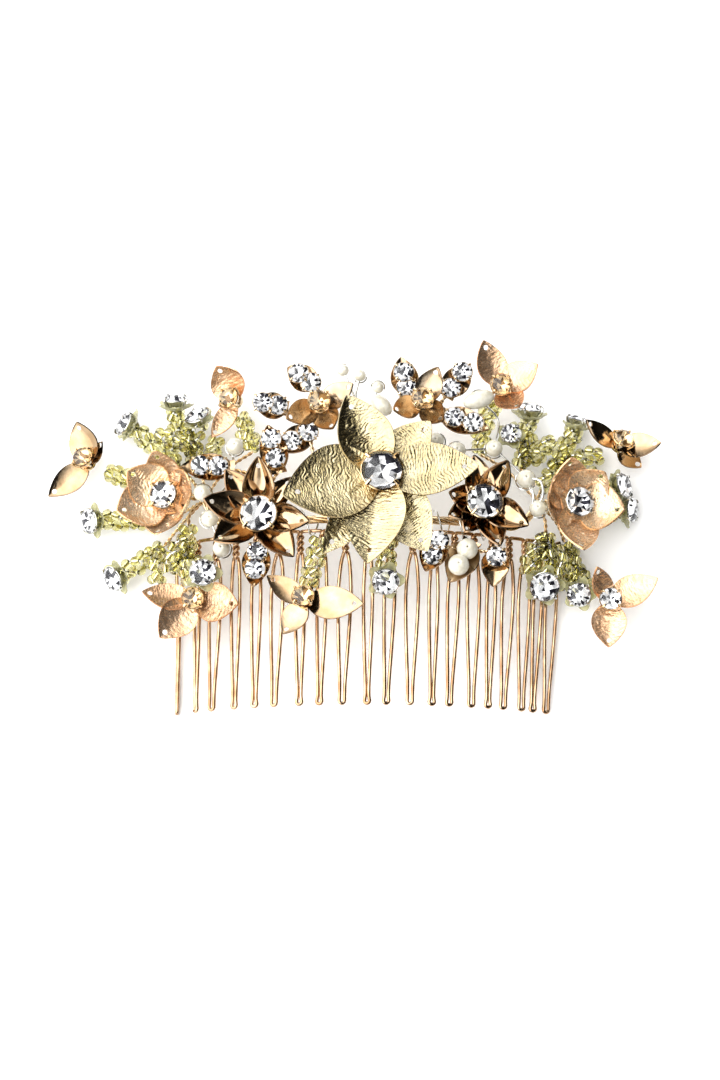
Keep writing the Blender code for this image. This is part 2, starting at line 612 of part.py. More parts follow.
def make_left_sprigs():
    part("bead_sprig_far_left", "bead",
         sprig([(-37.4, 13.6, 3.2), (-44.0, 14.6, 2.6), (-51.8, 16.6, 2.6)]))
    part("bead_sprig_outer_left", "bead",
         *crystal_sprig([(-37.4, 7.6, 3.2), (-45.0, 6.6, 2.6), (-53.6, 6.3, 3.6)], (-0.75, -0.25, 0.6)))
    part("bead_sprig_upper_left", "bead",
         *crystal_sprig([(-37.6, 18.0, 4.0), (-41.6, 21.4, 3.4), (-47.0, 26.0, 3.8)], (-0.8, 0.3, 0.5)))
    part("bead_sprigs_top_left", "bead",
         *crystal_sprig([(-32.0, 15.4, 6.2), (-34.2, 20.6, 5.8), (-37.6, 26.6, 5.0), (-38.0, 29.7, 5.2)],
                        (0.0, 0.85, 0.5)),
         *crystal_sprig([(-34.2, 20.6, 5.8), (-32.8, 26.4, 6.2)], (-0.3, 0.6, 0.7), 2.3),
         sprig([(-34.2, 20.6, 6.4), (-37.6, 21.6, 8.2), (-41.4, 22.6, 8.8)]),
         sprig([(-32.6, 16.6, 6.0), (-30.8, 20.0, 4.6), (-29.2, 23.2, 4.0)]))
    part("bead_sprig_top_left_flower", "bead",
         sprig([(-21.8, 20.1, 9.0), (-23.2, 23.6, 7.4), (-24.2, 27.4, 6.0)]))
    part("bead_sprig_low_left", "bead",
         *crystal_sprig([(-40.2, 0.6, 3.2), (-43.6, -1.8, 2.6), (-48.6, -5.2, 3.4)], (-0.7, -0.5, 0.5)),
         sprig([(-41.4, -0.4, 3.4), (-40.6, -3.4, 5.4), (-41.0, -7.0, 6.0)]))
    part("bead_sprig_lower_left", "bead",
         sprig([(-34.6, 3.4, 8.6), (-34.8, -3.0, 8.6), (-34.0, -7.8, 7.9)]),
         *crystal_sprig([(-34.8, -3.0, 8.6), (-32.4, -5.4, 10.8), (-31.0, -7.2, 13.0)], (0.0, -0.07, 1.0)),
         sprig([(-34.9, 0.6, 8.7), (-37.2, -2.2, 9.0), (-37.8, -5.6, 9.0)]))


def make_right_sprigs():
    part("bead_sprig_low_right", "bead",
         *crystal_sprig([(37.0, 2.0, 8.2), (37.0, -3.0, 7.8), (36.4, -8.0, 7.6)], (0.0, -0.5, 0.9), 2.8),
         sprig([(36.6, 1.0, 8.6), (34.2, -2.4, 9.0), (33.2, -6.0, 8.8)]),
         sprig([(37.0, 0.0, 8.4), (39.2, -2.8, 9.0), (40.0, -6.0, 8.8)]))
    part("bead_sprig_bottom_right", "bead",
         sprig([(41.2, 1.0, 4.4), (43.2, -4.0, 3.5), (46.7, -9.1, 3.2)]),
         *crystal_sprig([(43.3, -4.2, 3.7), (44.0, -9.6, 6.4)], (-0.3, -0.4, 1.0), 2.4),
         sprig([(41.6, 0.2, 4.3), (41.2, -3.6, 4.3), (41.2, -8.0, 4.3)]))
    part("bead_sprigs_upper_right", "bead",
         *crystal_sprig([(32.4, 16.8, 7.4), (33.4, 21.4, 6.8), (34.2, 27.4, 6.4)], (0.1, 0.85, 0.5)),
         *crystal_sprig([(33.4, 21.4, 6.8), (30.2, 22.4, 9.2)], (0.0, 0.1, 1.0), 2.0),
         sprig([(32.8, 18.0, 7.2), (36.0, 19.4, 6.6), (38.6, 22.6, 6.0)]))
    part("bead_sprig_top_right_flower", "bead",
         sprig([(24.2, 19.2, 8.4), (24.6, 24.0, 8.2), (27.0, 29.6, 8.2)]))
    part("bead_sprigs_far_right", "bead",
         *crystal_sprig([(36.8, 12.6, 5.6), (40.4, 18.6, 3.4), (44.0, 26.2, 3.0)], (0.25, 0.9, 0.3), 2.2),
         sprig([(39.9, 17.7, 3.8), (44.6, 19.4, 3.0), (49.0, 20.4, 3.0)]))
    part("bead_sprigs_outer_right", "bead",
         sprig([(42.6, 9.6, 3.8), (45.4, 13.6, 3.0), (48.4, 16.4, 3.0)]),
         *crystal_sprig([(41.8, 9.0, 4.0), (46.4, 11.6, 3.0), (51.8, 13.0, 4.4)], (0.8, 0.1, 0.6)),
         *crystal_sprig([(43.9, 10.0, 3.3), (48.0, 8.2, 2.6), (53.2, 8.6, 3.4)], (0.85, -0.1, 0.4)))


def make_bottom_sprigs():
    part("bead_sprig_bottom", "bead",
         *crystal_sprig([(5.2, -1.4, 16.8), (5.0, -4.4, 16.5), (4.8, -9.2, 16.4)], (0.0, -0.5, 0.9)))
    part("bead_sprig_bottom_gold_flower", "bead",
         sprig([(-8.4, -1.0, 16.35), (-9.0, -5.0, 15.75), (-10.4, -10.0, 14.9)]))


def main():
    for thing in list(bpy.data.objects):
        bpy.data.objects.remove(thing)
    make_comb()
    make_stem()
    make_lashing()
    make_big_flower()
    make_gold_flowers()
    make_tulips()
    make_three_petal_flowers()
    make_leaves()
    make_pearls()
    make_left_sprigs()
    make_right_sprigs()
    make_bottom_sprigs()


main()
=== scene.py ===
"""Looks of the decorative hair comb: a finely modelled piece stands in for every CAD node.

Lengths in the tables are millimetres in the spray's own coordinates, the ones that the CAD part is drawn in;
on_frame() turns them into metres in the frame.
"""
import math
import random

import bpy
import numpy as np
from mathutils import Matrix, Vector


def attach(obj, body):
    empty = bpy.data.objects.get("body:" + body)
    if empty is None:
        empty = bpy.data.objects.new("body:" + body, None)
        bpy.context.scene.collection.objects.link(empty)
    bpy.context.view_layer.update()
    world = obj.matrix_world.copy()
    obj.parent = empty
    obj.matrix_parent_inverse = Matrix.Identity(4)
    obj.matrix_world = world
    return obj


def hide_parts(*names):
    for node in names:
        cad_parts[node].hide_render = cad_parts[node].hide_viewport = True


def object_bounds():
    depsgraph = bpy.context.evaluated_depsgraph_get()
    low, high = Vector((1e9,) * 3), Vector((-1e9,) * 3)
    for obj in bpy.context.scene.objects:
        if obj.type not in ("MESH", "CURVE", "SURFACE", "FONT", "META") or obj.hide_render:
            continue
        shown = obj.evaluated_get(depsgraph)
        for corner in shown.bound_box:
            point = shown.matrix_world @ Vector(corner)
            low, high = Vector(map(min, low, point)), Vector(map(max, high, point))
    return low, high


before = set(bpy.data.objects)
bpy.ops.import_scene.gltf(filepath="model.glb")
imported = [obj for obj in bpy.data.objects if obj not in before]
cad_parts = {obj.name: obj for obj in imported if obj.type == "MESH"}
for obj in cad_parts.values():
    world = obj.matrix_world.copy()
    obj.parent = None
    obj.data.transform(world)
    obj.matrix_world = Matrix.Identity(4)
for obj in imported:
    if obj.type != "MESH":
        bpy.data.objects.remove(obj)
cad_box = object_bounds()

MM = 0.001
UP = np.array((0.0, 0.0, 1.0))
ORIGIN = np.array((-1.333, 4.151, -0.29))  # the middle of the comb's box at its lowest level

# The wire comb
TOOTH_COUNT = 20
TOOTH_PITCH = 4.17
TOOTH_LENGTH = 34.6
COMB_RADIUS = 70.0
COMB_CENTRE_X = 1.1
SPINE_Y = 1.8
SPINE_Z = 14.6
COMB_SLOPE = 0.092
WIRE_RADIUS = 0.38
NECK_LENGTH = 5.2
NECK_RADIUS = 0.44
NECK_TURNS = 2
TOOTH_SPREAD = 1.05
LEG_SHAPE = (  # how far down a leg, and its share of the spread there
    (0.08, 0.72), (0.25, 1.0), (0.45, 0.92), (0.65, 0.70), (0.85, 0.44), (0.95, 0.40))
TIP_RADIUS = 0.52
SPINE_END = 1.6  # what is left of the spine beyond the outer teeth
STEM_Y = 3.6
STEM_RADIUS = 0.9
LASHING_RADIUS = 0.25
LASHING_REACH = (2.6, 2.0)  # half of a turn's extent along the teeth and in height
FIRST_LASHED, LAST_LASHED = 3, 16  # the teeth between which the lashing runs
LEFT_ROOT = (-31.5, 9.5, 7.6)
RIGHT_ROOT = (35.4, 9.5, 7.2)

# The trimmings
SHEET = 0.3
BEAD_RADIUS = 1.05
BEAD_LENGTH = 1.7
BEAD_SIDES = 12
BEAD_GAP = 0.12
STRAND_COUNT = 3
STRAND_REACH = 1.3
STRAND_TURN = 12.0
STEM_WIRE = 0.3
CLAWS = 4
CUP_DEPTH = 0.62  # of the large claw cups; 1 is as deep as their radius
LEAF_STONE = 2.0
SMALL_STONE = 2.15
TULIP_STONE = 2.8
LARGE_STONE = 3.5
BIG_STONE = 3.9
SMALL_RISE = 3.0  # each rise is the height of a stone's girdle over its flower's hub
TULIP_RISE = 2.7
LARGE_RISE = 2.95
BIG_RISE = 2.7
LEAF_PEARL = 2.1
LEAF_SEAT = 1.4  # height of a stone's girdle or a pearl's middle over its leaf
HOLE = 0.5  # radius of the hole near the tip of a stamped petal
HOLE_PLACE = 0.85  # its place, as a share of the petal's length

# Wires twisted together
TRUNK = {"count": 5, "reach": STEM_RADIUS - 0.36, "radius": 0.34, "turn": 16.0}
BRANCH = {"count": 2, "reach": 0.2, "radius": 0.2, "turn": 2.4, "step": 0.25}
STALK = {"count": 2, "reach": 0.22, "radius": 0.22, "turn": 2.6, "step": 0.3}

EVEN = (1.0, 1.0, 1.0)
AHEAD = (0.0, 1.0, 0.2)  # turned forms and stones start their rings across this direction

chance = random.Random(7)


# Vectors and paths

def unit(vector):
    vector = np.asarray(vector, float)
    return vector / np.linalg.norm(vector)


def side_frame(direction, facing=AHEAD):
    """Unit vectors across and out of a strip that runs along direction and faces facing."""
    along = unit(direction)
    side = np.cross(facing, along)
    if np.linalg.norm(side) < 1e-3:
        side = np.cross((1.0, 0.0, 0.0), along)
    side = unit(side)
    return side, np.cross(along, side)


def smooth_path(points, step):
    """Points about step apart on a smooth curve through the given ones."""
    p = np.array(points, float)
    p = np.vstack([2 * p[0] - p[1], p, 2 * p[-1] - p[-2]])
    runs = []
    for a, b, c, d in zip(p, p[1:], p[2:], p[3:]):
        count = max(2, int(np.ceil(np.linalg.norm(c - b) / step)))
        t = (np.arange(count) / count)[:, None]
        runs.append(0.5 * (2 * b + (c - a) * t + (2 * a - 5 * b + 4 * c - d) * t ** 2
                           + (3 * b - a - 3 * c + d) * t ** 3))
    runs.append(p[-2][None])
    return np.vstack(runs)


def frames_along(path):
    """Unit vectors along, across and out of a path, carried along it without twist."""
    tangent = np.gradient(path, axis=0)
    tangent /= np.linalg.norm(tangent, axis=1)[:, None]
    side = np.empty_like(path)
    out = np.empty_like(path)
    facing = UP
    for index, along in enumerate(tangent):
        side[index], facing = side_frame(along, facing)
        out[index] = facing
    return tangent, side, out


def run_along(path):
    """How far along a path each of its points lies."""
    return np.concatenate([[0], np.cumsum(np.linalg.norm(np.diff(path, axis=0), axis=1))])


def circle(angle, side, out):
    """The point at each angle of a circle of radius 1."""
    return np.outer(np.cos(angle), side) + np.outer(np.sin(angle), out)


# Forms: each returns (points, faces)

def around(count):
    """Each number of a ring with the one after it."""
    return [(step, (step + 1) % count) for step in range(count)]


def quads(rows, columns, closed):
    """Faces of a grid of points stored row by row; closed joins each row's end to its start."""
    last = columns if closed else columns - 1
    faces = []
    for row in range(rows - 1):
        for column in range(last):
            a = row * columns + column
            b = row * columns + (column + 1) % columns
            faces.append((a, b, b + columns, a + columns))
    return faces


def wire(path, radius, sides=8):
    """A round wire with rounded ends; radius is one number or one for each point."""
    path = np.asarray(path, float)
    radii = np.broadcast_to(np.asarray(radius, float), (len(path),))
    tangent, side, out = frames_along(path)
    angle = 2 * np.pi * (np.arange(sides) + 0.5) / sides
    ring = np.cos(angle)[None, :, None] * side[:, None] + np.sin(angle)[None, :, None] * out[:, None]
    points = (path[:, None] + radii[:, None, None] * ring).reshape(-1, 3)
    poles = [path[0] - tangent[0] * radii[0] * 0.6, path[-1] + tangent[-1] * radii[-1] * 0.6]
    faces = quads(len(path), sides, True)
    first = len(points)
    last_ring = first - sides
    for step, after in around(sides):
        faces.append((first, after, step))
        faces.append((first + 1, last_ring + step, last_ring + after))
    return np.vstack([points, poles]), faces


def turned(origin, axis, profile, sides=24, loop=False):
    """A turned form; profile lists (radius, height), and loop joins its end to its start."""
    up = unit(axis)
    side, out = side_frame(up)
    angle = 2 * np.pi * np.arange(sides) / sides
    ring = circle(angle, side, out)
    points = np.vstack([np.array(origin) + up * height + ring * radius for radius, height in profile])
    faces = quads(len(profile), sides, True)
    if loop:
        last = sides * (len(profile) - 1)
        faces += [(last + step, last + after, after, step) for step, after in around(sides)]
    return points, faces


def pearl(centre, radius, stretch=1.0, axis=(0, 0, 1)):
    """A drilled pearl, with a small dimple where its wire goes in."""
    profile = [(0.05 * radius, -0.9 * radius * stretch)]
    for ring in range(15):
        angle = math.pi * (0.06 + 0.88 * ring / 14)
        profile.append((radius * math.sin(angle), -radius * stretch * math.cos(angle)))
    profile.append((0.05 * radius, 0.9 * radius * stretch))
    return turned(centre, axis, profile, 28)


def half_width(t, width, base):
    bulge = np.sin(np.pi * np.clip(t, 0, 1) ** 0.85)
    return np.maximum(np.maximum(0.5 * width * bulge ** 0.8, 0.5 * width * base * (1 - t)), 0.05)


class Grain:
    """Fine wavy ridges pressed into sheet metal, as a sum of warped waves."""

    def __init__(self, seed, pitch):
        source = np.random.default_rng(seed)
        self.pitch = pitch
        self.waves = [(source.uniform(0.6, 2.2), source.uniform(0, 2 * np.pi), source.uniform(0, 2 * np.pi))
                      for _ in range(7)]

    def wobble(self, x, y, first, last):
        total = 0
        for rate, heading, phase in self.waves[first:last]:
            total = total + np.sin(rate * (x * np.cos(heading) + y * np.sin(heading)) + phase)
        return total

    def height(self, x, y):
        bend = 0.42 * self.wobble(x, y, 0, 4)
        strength = 0.55 + 0.28 * self.wobble(1.7 * x, 1.7 * y, 4, 7)
        ridge = 2 * np.sqrt(np.abs(np.sin(np.pi * (x / self.pitch + bend)))) - 1
        return ridge * np.clip(strength, 0.25, 1.2)


def petal(root, tip, width, arch, cup, facing=UP, base=0.3, *, spacing, grain, seed, crease=0.05,
          ripple=0.0, pitch=0.8, hole=HOLE):
    """A stamped petal of sheet metal: arch lifts its middle, cup its two edges."""
    root = np.array(root, float)
    run = np.array(tip, float) - root
    length = np.linalg.norm(run)
    side, out = side_frame(run, facing)
    rows = max(10, int(length / spacing))
    columns = 2 * max(5, int(width / spacing / 2)) + 1
    x = np.repeat(np.linspace(0, length, rows), columns)
    y = np.tile(np.linspace(-1, 1, columns), rows) * half_width(x / length, width, base)
    faces = quads(rows, columns, False)
    if hole:
        faces, x, y = punched(faces, x, y, HOLE_PLACE * length, hole)
    t = x / length
    half = half_width(t, width, base)
    v = np.clip(y / half, -1, 1)
    lift = arch * 4 * t * (1 - t) + half * (cup * v * v + crease * np.sqrt(v * v + 0.01))
    lift = lift + ripple * np.sin(7 * v + 1.3 * seed) * np.sin(4 * t + seed) * np.sin(np.pi * t)
    fade = np.clip(6 * (1 - np.abs(v)), 0, 1) * np.clip(8 * (1 - t), 0, 1)
    # The grain's height also goes out as the tone attribute, from which the grained finishes paint shade
    # into the valleys.
    ridge = fade * Grain(seed, pitch).height(x, y)
    lift = lift + grain * ridge
    points = root + np.outer(t, run) + np.outer(y, side) + np.outer(lift, out)
    rim = np.clip(np.maximum(np.abs(v) ** 10, 9 * (t - 0.93)), 0, 1)
    place = np.column_stack([x, y, np.full(len(x), 7.0 * seed)])
    return thicken(points, faces, SHEET, rim, place, ridge)


def punched(faces, x, y, middle, radius):
    """Cut a round hole: faces inside it go, and the points left on its edge move onto the circle."""
    corners = np.array(faces)
    inside = np.hypot(x[corners].mean(1) - middle, y[corners].mean(1)) < radius
    kept = corners[~inside]
    edge = np.intersect1d(corners[inside], kept)
    reach = np.maximum(np.hypot(x[edge] - middle, y[edge]), 1e-6)
    x[edge] = middle + (x[edge] - middle) * radius / reach
    y[edge] = y[edge] * radius / reach
    return kept, x, y


def thicken(points, faces, thickness, rim, place, tone):
    """Turn one layer of faces into a closed sheet, with the three values of each of its points."""
    corners = np.array(faces)
    normals = np.zeros_like(points)
    low, right, high, left = points[corners].transpose(1, 0, 2)
    across = np.cross(high - low, left - right)
    for corner in range(4):
        np.add.at(normals, corners[:, corner], across)
    used = np.unique(corners)
    number = np.full(len(points), -1)
    number[used] = np.arange(len(used))
    normals = normals[used] / np.linalg.norm(normals[used], axis=1)[:, None]
    layer = points[used]
    count = len(used)
    upper = [tuple(face) for face in number[corners].tolist()]
    solid = upper + [tuple(corner + count for corner in reversed(face)) for face in upper]
    seen = {(a, b) for face in upper for a, b in zip(face, face[1:] + face[:1])}
    for a, b in sorted(seen):
        if (b, a) not in seen:
            solid.append((b, a, a + count, b + count))
    both = np.vstack([layer + normals * thickness / 2, layer - normals * thickness / 2])
    rims = np.concatenate([rim[used], np.maximum(rim[used], 0.6)])
    return both, solid, rims, np.tile(place[used], (2, 1)), np.tile(tone[used], 2)


# A piece gathers forms, each with the number of its finish, and becomes one object

class Piece:
    def __init__(self, *finishes):
        self.finishes = finishes
        self.count = 0
        self.points, self.faces, self.finish, self.smooth = [], [], [], []
        self.rim, self.place, self.tone, self.facet = [], [], [], []

    def add(self, form, finish=0, flat=False):
        """Add a form; one that isn't sheet metal gets no rim and a tone of its own."""
        points, faces, *layers = form
        points = np.asarray(points, float)
        size = len(points)
        rim, place, tone = layers or (np.zeros(size), points, np.full(size, chance.random()))
        self.points.append(points)
        self.faces += [tuple(self.count + corner for corner in face) for face in faces]
        self.finish += [finish] * len(faces)
        self.smooth += [not flat] * len(faces)
        self.rim.append(rim)
        self.place.append(place)
        self.tone.append(tone)
        # Each flat face gets a random number, which the foil finishes turn into painted reflections.
        self.facet += [chance.random() if flat else 0.5 for _ in faces]
        self.count += size
        return self

    def repaint(self, count, finish):
        """Give the last faces another finish."""
        self.finish[-count:] = [finish] * count

    def build(self, name, slot, *nodes):
        """Make the object, which rides on the comb and stands for the CAD nodes."""
        mesh = bpy.data.meshes.new(name)
        mesh.from_pydata(on_frame(np.vstack(self.points)).tolist(), [], self.faces)
        for finish in self.finishes:
            mesh.materials.append(FINISHES[finish])
        mesh.polygons.foreach_set("material_index", self.finish)
        mesh.polygons.foreach_set("use_smooth", self.smooth)
        for layer, values in (("rim", self.rim), ("tone", self.tone)):
            mesh.attributes.new(layer, "FLOAT", "POINT").data.foreach_set("value", np.concatenate(values))
        mesh.attributes.new("facet", "FLOAT", "FACE").data.foreach_set("value", self.facet)
        place = mesh.attributes.new("place", "FLOAT_VECTOR", "POINT")
        place.data.foreach_set("vector", np.vstack(self.place).ravel())
        mesh.set_sharp_from_angle(angle=math.radians(50))
        mesh.update()
        thing = new_object(name, mesh)
        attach(thing, "root")
        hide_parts(*nodes)


def new_object(name, data):
    thing = bpy.data.objects.new(name, data)
    bpy.context.scene.collection.objects.link(thing)
    return thing


# Shader nodes

def feed(tree, node, sockets):
    """Fill a node's sockets: another node's output is linked, anything else is set as the constant."""
    for name, value in sockets.items():
        if isinstance(value, bpy.types.NodeSocket):
            tree.links.new(value, node.inputs[name])
        else:
            node.inputs[name].default_value = value


def new_node(tree, kind, output, sockets):
    node = tree.nodes.new("ShaderNode" + kind)
    feed(tree, node, sockets)
    return node.outputs[output]


def attribute_node(tree, name, output="Fac"):
    node = tree.nodes.new("ShaderNodeAttribute")
    node.attribute_name = name
    return node.outputs[output]


def noise_node(tree, scale, detail=3.0, stretch=EVEN):
    """Noise over the piece in millimetres; stretch makes it longer one way."""
    place = attribute_node(tree, "place", "Vector")
    place = new_node(tree, "Mapping", "Vector", {"Vector": place, "Scale": stretch})
    return new_node(tree, "TexNoise", "Fac", {"Vector": place, "Scale": scale, "Detail": detail})


def ramp_node(tree, source, stops):
    ramp = tree.nodes.new("ShaderNodeValToRGB")
    elements = ramp.color_ramp.elements
    elements[0].position, elements[0].color = stops[0][0], (*stops[0][1], 1)
    elements[1].position, elements[1].color = stops[-1][0], (*stops[-1][1], 1)
    for position, colour in stops[1:-1]:
        elements.new(position).color = (*colour, 1)
    tree.links.new(source, ramp.inputs["Fac"])
    return ramp.outputs["Color"]


def blend_node(tree, kind, factor, first, second):
    blend = tree.nodes.new("ShaderNodeMix")
    blend.data_type = "RGBA"
    blend.blend_type = kind
    feed(tree, blend, {"Factor": factor, "A": first, "B": second})
    return blend.outputs["Result"]


def mix_node(tree, factor, first, second):
    """Mix two colours; second is a plain colour."""
    return blend_node(tree, "MIX", factor, first, (*second, 1))


def bump_node(tree, source, distance):
    """Distance is in millimetres."""
    return new_node(tree, "Bump", "Normal", {"Height": source, "Distance": distance * MM})


def range_node(tree, source, low, high, start=0.3, end=0.7):
    return new_node(tree, "MapRange", "Result", {
        "Value": source, "From Min": start, "From Max": end, "To Min": low, "To Max": high})


# Finishes

def new_material(name):
    material = bpy.data.materials.new(name)
    material.use_nodes = True
    return material, material.node_tree, material.node_tree.nodes["Principled BSDF"]


def metal(name, dark, light, roughness, bump, edge=None, metallic=1.0, grain=(1.2, EVEN), valley_shade=None,
          lacquer=0.0):
    """Plated metal: its tone drifts, fine marks lie in it, edge tints its rims, and painted shade darkens
    the valleys of its grain.

    Grain is the scale and stretch of the marks, and lacquer the weight of a clear coat.
    """
    material, tree, shader = new_material(name)
    marks = noise_node(tree, grain[0], 4.0, grain[1])
    tone = ramp_node(tree, noise_node(tree, 0.25, 2.0), [(0.35, dark), (0.65, light)])
    tone = mix_node(tree, range_node(tree, marks, 0.35, 0.0), tone, dark)
    # On sheet metal the tone attribute is the grain's height, so this paints shade into the grain's valleys;
    # on other forms it is a random tone, so they darken by chance.
    if valley_shade:
        valley_shade_mask = range_node(tree, attribute_node(tree, "tone"), 0.85, 0.0, -0.6, 0.45)
        tone = mix_node(tree, valley_shade_mask, tone, valley_shade)
    if edge:
        tone = mix_node(tree, attribute_node(tree, "rim"), tone, edge)
    feed(tree, shader, {
        "Base Color": tone, "Roughness": range_node(tree, marks, *roughness), "Metallic": metallic,
        "Coat Weight": lacquer, "Coat Roughness": 0.12, "Normal": bump_node(tree, marks, bump)})
    return material


def foil(name, dark, light):
    """The foiled back of a cut stone: each facet is painted its own brightness, from dark to light, as a
    painted reflection of the room, and glows in that colour as a painted glow.
    """
    material, tree, shader = new_material(name)
    facet = attribute_node(tree, "facet")
    middle = tuple(0.5 * (low + high) for low, high in zip(dark, light))
    # Painted reflections: the random number of each facet picks a dark, middle or light tone.
    tone = ramp_node(tree, facet, [(0.38, dark), (0.43, middle), (0.52, light)])
    tone = mix_node(tree, range_node(tree, noise_node(tree, 1.6), 0.25, 0.0), tone, dark)
    # The emission is a painted glow in each facet's painted reflection colour.
    feed(tree, shader, {
        "Base Color": tone, "Roughness": range_node(tree, facet, 0.05, 0.22), "Metallic": 1.0,
        "Emission Color": tone, "Emission Strength": 0.6})
    return material


def glass(name, dark, light, ior, roughness, transmission=1.0):
    """Coloured glass: each piece has its own tone, and a slight haze."""
    material, tree, shader = new_material(name)
    tone = ramp_node(tree, attribute_node(tree, "tone"), [(0.0, dark), (1.0, light)])
    haze = noise_node(tree, 1.5)
    feed(tree, shader, {
        "Base Color": mix_node(tree, range_node(tree, haze, 0.3, 0.0), tone, dark),
        "Roughness": range_node(tree, haze, *roughness), "Transmission Weight": transmission, "IOR": ior})
    return material


def nacre(name, dark, light):
    """Ivory pearl: a soft glow below a clear glossy skin."""
    material, tree, shader = new_material(name)
    skin = noise_node(tree, 0.9, 2.0)
    feed(tree, shader, {
        "Base Color": ramp_node(tree, skin, [(0.35, dark), (0.65, light)]),
        "Roughness": range_node(tree, skin, 0.28, 0.16), "Subsurface Weight": 0.2,
        "Subsurface Radius": (0.001, 0.0009, 0.0007), "Subsurface Scale": 0.6, "Coat Weight": 0.5,
        "Coat Roughness": 0.06, "Normal": bump_node(tree, noise_node(tree, 4.0), 0.01)})
    return material


CRIMP = (2.3, (1.0, 0.5, 1.0))
FINISH_TABLE = (
    # kind, name, darkest and lightest tone, what else the kind takes in its order, and by name
    (metal, "rose_gold", (0.36, 0.21, 0.11), (0.68, 0.48, 0.31), ((0.05, 0.14), 0.01), {}),
    # The groove colours of the grained finishes are painted shade for the valleys of their grain.
    (metal, "olive_gold", (0.33, 0.27, 0.12), (0.68, 0.62, 0.41), ((0.14, 0.28), 0.22),
     {"edge": (0.42, 0.33, 0.16), "grain": CRIMP, "valley_shade": (0.07, 0.045, 0.01), "lacquer": 1.0}),
    (metal, "bright_gold", (0.52, 0.34, 0.16), (0.88, 0.71, 0.47), ((0.05, 0.14), 0.02),
     {"edge": (0.24, 0.15, 0.08), "lacquer": 0.5}),
    (metal, "peach_satin", (0.76, 0.57, 0.36), (0.95, 0.85, 0.66), ((0.18, 0.32), 0.14),
     {"edge": (0.58, 0.3, 0.15), "metallic": 0.85, "grain": CRIMP, "valley_shade": (0.34, 0.19, 0.08)}),
    (metal, "tulip_satin", (0.88, 0.76, 0.52), (1, 0.96, 0.8), ((0.2, 0.34), 0.14),
     {"edge": (0.7, 0.42, 0.22), "metallic": 0.75, "grain": CRIMP, "valley_shade": (0.66, 0.46, 0.24)}),
    (metal, "rose_petal", (0.62, 0.46, 0.29), (0.9, 0.79, 0.6), ((0.1, 0.24), 0.02),
     {"edge": (0.26, 0.17, 0.1)}),
    (metal, "silver_wire", (0.5, 0.5, 0.47), (0.86, 0.86, 0.84), ((0.1, 0.22), 0.01), {}),
    (metal, "lining", (0.78, 0.76, 0.5), (0.97, 0.96, 0.8), ((0.08, 0.2), 0.01), {}),
    # The two foils' colours are painted reflections, dark to light from facet to facet, and they glow.
    (foil, "foil", (0.015, 0.015, 0.02), (0.97, 0.97, 0.975), (), {}),
    (foil, "champagne_foil", (0.14, 0.08, 0.03), (0.95, 0.78, 0.52), (), {}),
    (glass, "crystal", (0.96, 0.97, 0.98), (1, 1, 1), (1.5, (0, 0.01)), {}),
    (glass, "champagne", (0.9, 0.78, 0.6), (0.98, 0.9, 0.76), (1.5, (0, 0.02)), {}),
    (glass, "bead", (0.76, 0.72, 0.36), (0.94, 0.91, 0.63), (1.48, (0.02, 0.08)), {}),
    (glass, "sequin", (0.52, 0.5, 0.26), (0.76, 0.74, 0.46), (1.46, (0.1, 0.25), 0.6), {}),
    (nacre, "pearl", (0.6, 0.56, 0.44), (0.76, 0.73, 0.63), (), {}),
)
FINISHES = {name: kind(name, dark, light, *more, **named)
            for kind, name, dark, light, more, named in FINISH_TABLE}


# Stones and settings

def ring_of(centre, axes, count, reach, height, turn):
    """Points of one ring of a stone; axes are its sideways, outward and upward unit vectors."""
    side, out, up = axes
    angle = 2 * np.pi * (np.arange(count) + turn) / count
    return centre + up * height + reach * circle(angle, side, out)


STONE_RINGS = (
    # count of points, reach, height and turn of each ring, from the table down
    (8, 0.5, 0.42, 0.0), (8, 0.8, 0.27, 0.5), (16, 1.0, 0.04, 0.0), (16, 1.0, -0.04, 0.0),
    (16, 0.68, -0.32, 0.5), (8, 0.34, -0.5, 0.25))


def cut_stone(piece, centre, axis, radius, crown, foil, deep=1.0):
    """A brilliant-cut stone: a clear crown over a foiled back, whose facets carry painted reflections."""
    up = unit(axis)
    axes = (*side_frame(up), up)
    centre = np.array(centre, float)
    tall = radius * deep
    table, middle, girdle, lower, belly, keel, culet = 0, 8, 16, 32, 48, 64, 72
    rings = [ring_of(centre, axes, count, reach * radius, height * tall, turn)
             for count, reach, height, turn in STONE_RINGS]
    points = np.vstack([*rings, centre - up * (0.60 * tall)])
    top = [tuple(range(8))]
    below = []
    for step, after in around(8):
        first, second, third = 2 * step, 2 * step + 1, (2 * step + 2) % 16
        top.append((middle + step, table + after, table + step))
        top.append((middle + step, girdle + third, middle + after, table + after))
        top.append((middle + step, girdle + first, girdle + second))
        top.append((middle + step, girdle + second, girdle + third))
        below.append((belly + first, keel + step, belly + second))
        below.append((belly + second, keel + step, keel + after))
        below.append((belly + second, keel + after, belly + third))
        below.append((keel + step, culet, keel + after))
    for step, after in around(16):
        below.append((lower + step, belly + step, lower + after))
        below.append((lower + after, belly + step, belly + after))
        top.append((girdle + step, lower + step, lower + after, girdle + after))
    piece.add((points, top + below), crown, True)
    piece.repaint(len(below), foil)


